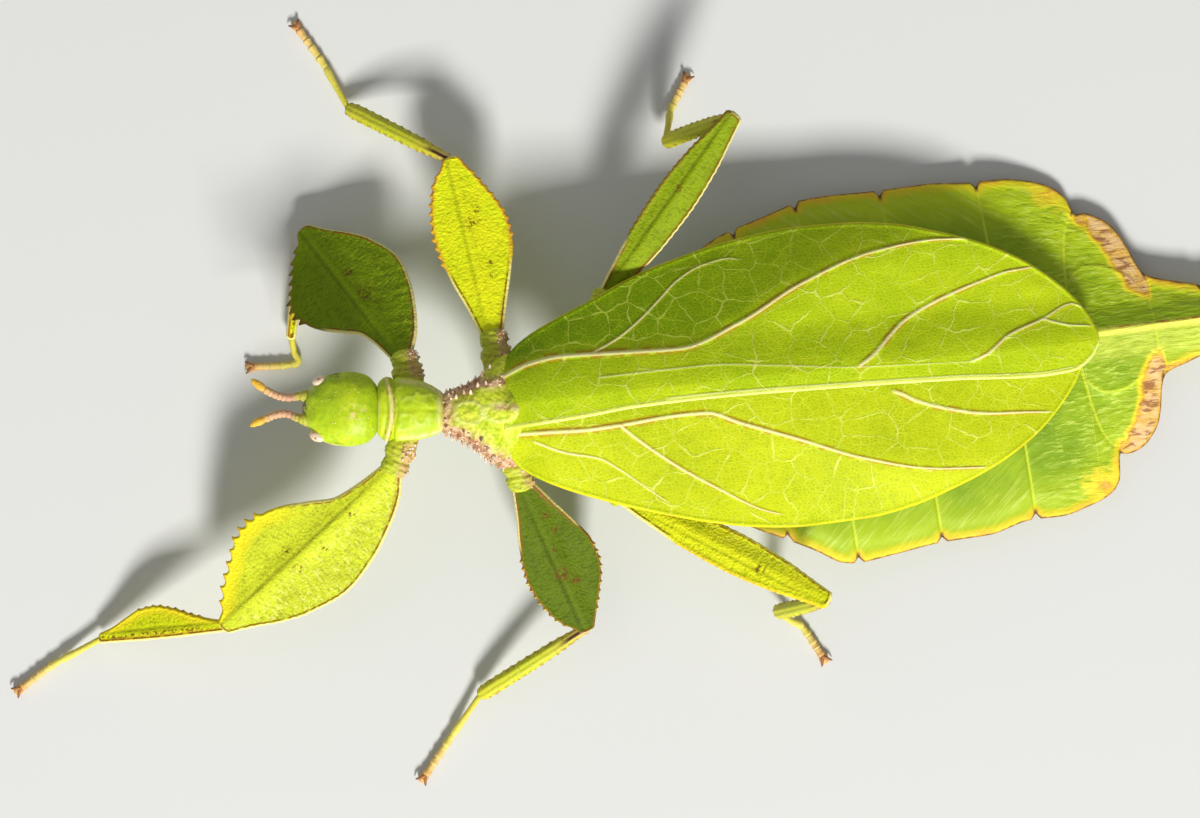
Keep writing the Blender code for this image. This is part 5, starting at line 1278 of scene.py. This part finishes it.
def make_thorax():
    rings, angle = body_rings(MESOTHORAX, 120, 150, 0.3)
    x, y, z = np.moveaxis(rings, -1, 0)
    above = smoothstep(11.2, 12.0, z)
    rise = np.interp(x, [-9.6, -8.7, -7.4, -6.7, -6.1], [0, 0.35, 1.75, 1.5, 0.6])
    rings[..., 2] += above * bump(y + 0.1, 2.1) * rise
    ridge = thorax_ridge(x, y, z)
    unround = 0.14 * rough(x, y, 0 * x, 0.8, 22)
    shield = np.hypot((x + 8.3) / 1.5, (y + 0.3) / 0.75) + unround
    front_shield = np.hypot((x + 11.0) / 1.3, y + 0.3) + unround
    scutum = (bump(shield - 1, 0.15) + bump(front_shield - 0.95, 0.15)) * above
    lift = 0.1 * ridge + 0.09 * rough(x, y, z, 0.6, 14) * (0.3 + ridge) + 0.04 * rough(x, y, z, 0.25, 15)
    lift += 0.055 * scutum * (1 - ridge) + 0.05 * bump(y + 0.2, 0.2) * above * smoothstep(-9.5, -8.5, x)
    blotch = 0.8 * bump(y - 0.15, 0.26) * above * smoothstep(-9.4, -8.4, x)
    marks = {"ridge": np.maximum(ridge, blotch), "pale": np.clip(scutum, 0, 1) * (1 - ridge), "knobs": ridge}
    rings = pushed(rings, lift)
    piece = skin_of_rings("mesothorax_skin", rings, marks, MATERIALS["thorax"])
    belongs(piece, "hip_tan", "mesothorax")
    places, outward = [], []
    for row_x, row_angle in SPINES:
        i = int(np.abs(rings[:, 0, 0] - row_x).argmin())
        k = int(np.abs(angle[i] - math.radians(row_angle % 360)).argmin())
        out = rings[i, k] - rings[i].mean(0)
        places.append(rings[i, k] - 0.06 * out / np.linalg.norm(out))
        outward.append(out / np.linalg.norm(out) + [0, 0, 0.25])
    spines = bpy.data.meshes.new("thorax_spines")
    spines.from_pydata(((np.array(places) - ORIGIN) * METRES).tolist(), [], [])
    facing = spines.attributes.new("out", "FLOAT_VECTOR", "POINT")
    facing.data.foreach_set("vector", np.array(outward).ravel())
    grow("mesothorax_spines", spines, spine_tree(MATERIALS["knob"]), "hip_tan", Smallest=0.00015,
         Largest=0.00023, Height=2.7)
    rings, _ = body_rings(METATHORAX, 50, 90, 0.3)
    lift = 0.05 * rough(*np.moveaxis(rings, -1, 0), 0.8, 16)
    blank = 0 * rings[..., 0]
    rear = skin_of_rings("metathorax_skin", pushed(rings, lift), {"ridge": blank, "pale": blank},
                         MATERIALS["thorax"])
    belongs(rear, "body_green", "metathorax")
    return piece


def make_eye(side):
    """A small bulging eye with fine facets and a dark spot where it looks at you."""
    centre = np.array(EYE_CENTRES[side])
    turn = EYE_TURN * (1 if side == "right" else -1)
    polar = np.linspace(0.03, math.pi - 0.03, 30)[:, None]
    angle = np.linspace(0, math.tau, 44, endpoint=False)[None]
    x = EYE_RADII[0] * np.sin(polar) * np.cos(angle)
    y = EYE_RADII[1] * np.sin(polar) * np.sin(angle)
    z = EYE_RADII[2] * np.cos(polar) + 0 * angle
    rings = np.stack([centre[0] + x * math.cos(turn) - y * math.sin(turn),
                      centre[1] + x * math.sin(turn) + y * math.cos(turn), centre[2] + z], -1)
    outward = 1 if side == "right" else -1
    pupil = bump(np.hypot(x + 0.05, y - 0.2 * outward), 0.1) * (z > 0)
    piece = skin_of_rings(f"eye_{side}_pearl", rings, {"pupil": pupil}, MATERIALS["eye"])
    belongs(piece, "eye_pale", f"eye_{side}")


def make_feeler(side):
    """A short beaded antenna with a thick root and a long last joint."""
    path = even_line(ANTENNAE[side], 0.05)

    def reach(share):
        part = np.interp(share, ANTENNA_JOINTS, np.arange(len(ANTENNA_JOINTS)))
        within = part - np.floor(part)
        size = np.interp(share, *np.transpose(ANTENNA_SIZES))
        return size * (1 - 0.24 * bump(within, 0.12) - 0.24 * bump(within - 1, 0.12))

    def shape(share, angle):
        return 1 + 0.09 * rough(share * 9, 1.6 * np.cos(angle), 1.6 * np.sin(angle), 0.3, 17)

    piece = limb_skin(f"antenna_{side}_skin", path, reach, MATERIALS["antenna"], 24, shape)
    belongs(piece, "antenna_tan", f"antenna_{side}")


def make_mouth():
    """The mouthparts under the head's front, and a jointed palp on each side."""
    rings, _ = body_rings(MOUTH, 40, 60)
    x, y, z = np.moveaxis(rings, -1, 0)
    lift = -0.09 * bump(y, 0.1) * (z < 11) + 0.03 * rough(x, y, z, 0.4, 18)
    piece = skin_of_rings("mouthparts_skin", pushed(rings, lift), {"ridge": 0 * x + 0.8, "pale": 0 * x},
                          MATERIALS["thorax"])
    belongs(piece, "hip_tan", "mouthparts")
    for side, sign in (("left", -1), ("right", 1)):
        path = even_line([(px, py * sign, pz) for px, py, pz in PALP], 0.05)

        def reach(share):
            part = share * PALP_PARTS
            joints = 1 - 0.25 * bump(part - np.round(part), 0.1)
            return (0.33 - 0.07 * share) * joints * np.sqrt(1 - share**8 * 0.9)

        palp = limb_skin(f"palp_{side}_skin", path, reach, MATERIALS["antenna"], 18)
        belongs(palp, "antenna_tan", f"palp_{side}")
        tail = []
        for s, t in CERCUS:
            x, y = turned(BACK_START, BACK_TURN, s - BACK_SKEW * t * sign, t * sign)
            tail.append((x, y, float(ridge_z(s)) - float(through(BELLY_DEPTH, s)) - 0.55))
        cercus = limb_skin(f"cercus_{side}_skin", even_line(tail, 0.07),
                           lambda share: 0.42 * np.sin(math.pi * (0.12 + 0.86 * share)) ** 0.6 + 0.02,
                           MATERIALS["antenna"], 20)
        belongs(cercus, "hip_tan", f"cercus_{side}")


SIZE_SOCKETS = {float: "NodeSocketFloat", int: "NodeSocketInt", str: "NodeSocketString"}


def growth_tree(name, finish, sizes, sow):
    """A node tree that sets a small shape of random size on every point that sow finds on the mesh."""
    tree = bpy.data.node_groups.new(name, "GeometryNodeTree")
    nodes, links = tree.nodes, tree.links
    tree.interface.new_socket("Geometry", in_out="INPUT", socket_type="NodeSocketGeometry")
    for label, start in {**sizes, "Seed": SEED}.items():
        socket = tree.interface.new_socket(label, in_out="INPUT", socket_type=SIZE_SOCKETS[type(start)])
        socket.default_value = start
    tree.interface.new_socket("Geometry", in_out="OUTPUT", socket_type="NodeSocketGeometry")
    source, sink = nodes.new("NodeGroupInput").outputs, nodes.new("NodeGroupOutput")

    def put(kind, inputs, output=0, **settings):
        """One node, its inputs joined or set, and the output that is wanted from it."""
        node = nodes.new(kind)
        for setting, choice in settings.items():
            setattr(node, setting, choice)
        for socket, given in inputs.items():
            if isinstance(given, bpy.types.NodeSocket):
                links.new(given, node.inputs[socket])
            else:
                node.inputs[socket].default_value = given
        return node.outputs[output]

    points, rotation, shape = sow(put, source)
    wide = put("FunctionNodeRandomValue",
               {2: source["Smallest"], 3: source["Largest"], "Seed": source["Seed"]}, 1)
    tall = put("ShaderNodeMath", {0: wide, 1: source["Height"]}, operation="MULTIPLY")
    scale = put("ShaderNodeCombineXYZ", {"X": wide, "Y": wide, "Z": tall})
    placed = put("GeometryNodeInstanceOnPoints", {"Points": points, "Rotation": rotation, "Instance": shape,
                                                  "Scale": scale})
    real = put("GeometryNodeRealizeInstances", {"Geometry": placed})
    links.new(put("GeometryNodeSetMaterial", {"Geometry": real, "Material": finish}), sink.inputs["Geometry"])
    return tree


def knob_tree(finish):
    """Scatters small rounded knobs over a surface, thicker where its own number says so."""

    def sow(put, source):
        amount = put("GeometryNodeInputNamedAttribute", {"Name": source["Where"]}, "Attribute",
                     data_type="FLOAT")
        density = put("ShaderNodeMath", {0: source["Density"], 1: amount}, operation="MULTIPLY")
        scattered = {"Mesh": source["Geometry"], "Density": density, "Seed": source["Seed"]}
        points = put("GeometryNodeDistributePointsOnFaces", scattered, "Points")
        knob = put("GeometryNodeMeshIcoSphere", {"Radius": 1.0, "Subdivisions": 2}, "Mesh")
        return points, points.node.outputs["Rotation"], knob

    sizes = {"Density": 1e6, "Smallest": 0.0001, "Largest": 0.0002, "Height": 1.0, "Where": "knobs"}
    return growth_tree("surface_knobs", finish, sizes, sow)


def spine_tree(finish):
    """Sets a blunt cone on every point, pointing along the point's own outward arrow."""

    def sow(put, source):
        arrow = put("GeometryNodeInputNamedAttribute", {"Name": "out"}, "Attribute", data_type="FLOAT_VECTOR")
        points = put("GeometryNodeMeshToPoints", {"Mesh": source["Geometry"]}, "Points")
        turn = put("FunctionNodeAlignRotationToVector", {"Vector": arrow}, "Rotation", axis="Z")
        spine = put("GeometryNodeMeshCone", {"Vertices": 12, "Side Segments": 3, "Radius Top": 0.16,
                                             "Radius Bottom": 1.0, "Depth": 1.0}, "Mesh")
        return points, turn, spine

    return growth_tree("standing_spines", finish, {"Smallest": 0.0001, "Largest": 0.0002, "Height": 2.0}, sow)


def grow(name, host_mesh, tree, slot, **sizes):
    """What a node tree grows on a mesh, as a plain mesh piece of its own."""
    host = bpy.data.objects.new(name, host_mesh)
    bpy.context.scene.collection.objects.link(host)
    modifier = host.modifiers.new("growth", "NODES")
    modifier.node_group = tree
    for item in tree.interface.items_tree:
        if item.in_out == "INPUT" and item.name in sizes:
            modifier[item.identifier] = sizes[item.name]
    bpy.context.view_layer.update()
    grown = bpy.data.meshes.new_from_object(host.evaluated_get(bpy.context.evaluated_depsgraph_get()))
    host.modifiers.clear()
    bpy.data.objects.remove(host)
    grown.name = name
    grown.shade_smooth()
    piece = bpy.data.objects.new(name, grown)
    bpy.context.scene.collection.objects.link(piece)
    return belongs(piece, slot)


def make_stage():
    """A plain pale floor, soft light low from the insect's left, and the photograph's straight-down camera."""
    bpy.ops.mesh.primitive_plane_add(size=1.6)
    floor = bpy.context.object
    floor.name = "floor"
    paper = Finish("floor_paper", 0.9, 0.0, 0.1)
    paper.lay((0.70, 0.70, 0.67))
    floor.data.materials.append(paper.finish())
    world = bpy.data.worlds.new("studio")
    world.use_nodes = True
    sky = world.node_tree.nodes["Background"].inputs
    sky["Color"].default_value = (0.95, 0.97, 1.0, 1.0)
    sky["Strength"].default_value = 0.26
    bpy.context.scene.world = world
    for name, place, size, power in LAMPS:
        light = bpy.data.lights.new(name, "AREA")
        light.size = size
        light.energy = power
        lamp = bpy.data.objects.new(name, light)
        lamp.location = place
        lamp.rotation_euler = (-Vector(place)).to_track_quat("-Z", "Y").to_euler()
        bpy.context.scene.collection.objects.link(lamp)
    lens = bpy.data.cameras.new("photo_view")
    lens.lens = LENS
    lens.sensor_width = SENSOR_WIDTH
    lens.clip_start = 0.01
    camera = bpy.data.objects.new("photo_view", lens)
    camera.location = [(a - b) * METRES for a, b in zip((0.0, 0.0, CAMERA_HEIGHT), ORIGIN)]
    bpy.context.scene.collection.objects.link(camera)
    bpy.context.scene.camera = camera
    bpy.context.scene.view_settings.view_transform = "Standard"


MATERIALS = {
    "abdomen": abdomen_finish(),
    "wing_left": wing_finish("left"),
    "wing_right": wing_finish("right"),
    "thigh_fore_left": lobe_finish("thigh_yellow_green", (0.52, 0.57, 0.022), 1.3, (0.78, 0.42, 0.02),
                                   (0.82, 0.72, 0.015), (0.80, 0.82, 0.20)),
    # Partly painted shade: the right fore thigh is deep green, partly its own tone
    "thigh_fore_right": lobe_finish("thigh_shaded_green", (0.17, 0.26, 0.003), 0.15, DARK_BROWN,
                                    (0.20, 0.16, 0.01), (0.42, 0.52, 0.02)),
    # Partly painted shade: the left middle thigh is dark green, partly its own tone
    "thigh_mid_left": lobe_finish("thigh_green_part_painted_shade", (0.090, 0.136, 0.002), 0.2, (0.82, 0.62, 0.22),
                                  (0.24, 0.13, 0.01)),
    # Painted light: the right middle thigh brightened to pale lemon
    "thigh_mid_right": lobe_finish("thigh_lemon_painted_light", (0.76, 0.86, 0.010), 0.35, (0.66, 0.30, 0.02), AMBER),
    # Painted light: the left hind thigh brightened
    "thigh_hind_left": lobe_finish("thigh_green_painted_light", (0.82, 0.88, 0.014), 0.22, (0.78, 0.60, 0.16),
                                   RIM_YELLOW, (0.86, 0.88, 0.12)),
    # Painted shade: the right hind thigh darkened
    "thigh_hind_right": lobe_finish("thigh_green_painted_shade", (0.205, 0.275, 0.003), 0.15, RUST,
                                    (0.30, 0.26, 0.02)),
    "shin_lobe": lobe_finish("shin_lobe_yellow", (0.60, 0.64, 0.008), 0.8, RUST, RIM_YELLOW, dotted=True),
    "shin": banded_finish("shin_olive", [(0.0, (0.62, 0.42, 0.22)), (0.16, (0.58, 0.52, 0.04)),
                                         (0.5, (0.56, 0.60, 0.02)), (1.0, (0.62, 0.60, 0.03))],
                          (0.30, 0.11, 0.01), 0.6, 0.6, edged=True),
    "foot": banded_finish("foot_amber", [(0.0, (0.64, 0.58, 0.05)), (0.5, (0.74, 0.64, 0.11)),
                                         (0.82, (0.76, 0.54, 0.17)), (1.0, (0.72, 0.42, 0.14))], RUST, 0.5,
                          0.55),
    "claw": banded_finish("claw_brown", [(0.0, (0.55, 0.25, 0.08)), (1.0, (0.16, 0.05, 0.02))], DARK_BROWN,
                          0.3),
    "hip": banded_finish("hip_olive", [(0.0, (0.44, 0.40, 0.05)), (0.5, (0.50, 0.52, 0.03)),
                                       (1.0, (0.52, 0.60, 0.02))], (0.30, 0.12, 0.04), 0.5, warty=True),
    "antenna": banded_finish("antenna_pink", [(0.0, (0.46, 0.50, 0.03)), (0.2, (0.50, 0.44, 0.06)),
                                              (0.32, (0.62, 0.34, 0.20)), (0.62, (0.70, 0.42, 0.22)),
                                              (0.85, (0.82, 0.48, 0.04))], (0.26, 0.08, 0.04), 0.3),
    "head": head_finish(),
    "pronotum": pronotum_finish(),
    "thorax": thorax_finish(),
    "knob": knob_finish(),
    "eye": eye_finish(),
}

knobs = knob_tree(MATERIALS["knob"])
make_abdomen()
make_wing("left")
make_wing("right")
make_legs(knobs)
make_head()
make_pronotum()
thorax = make_thorax()
for side in ("left", "right"):
    make_eye(side)
    make_feeler(side)
make_mouth()
grow("mesothorax_knobs", thorax.data, knobs, "hip_tan", Density=2.2e6, Smallest=0.00006, Largest=0.00015,
     Height=1.3)
make_stage()
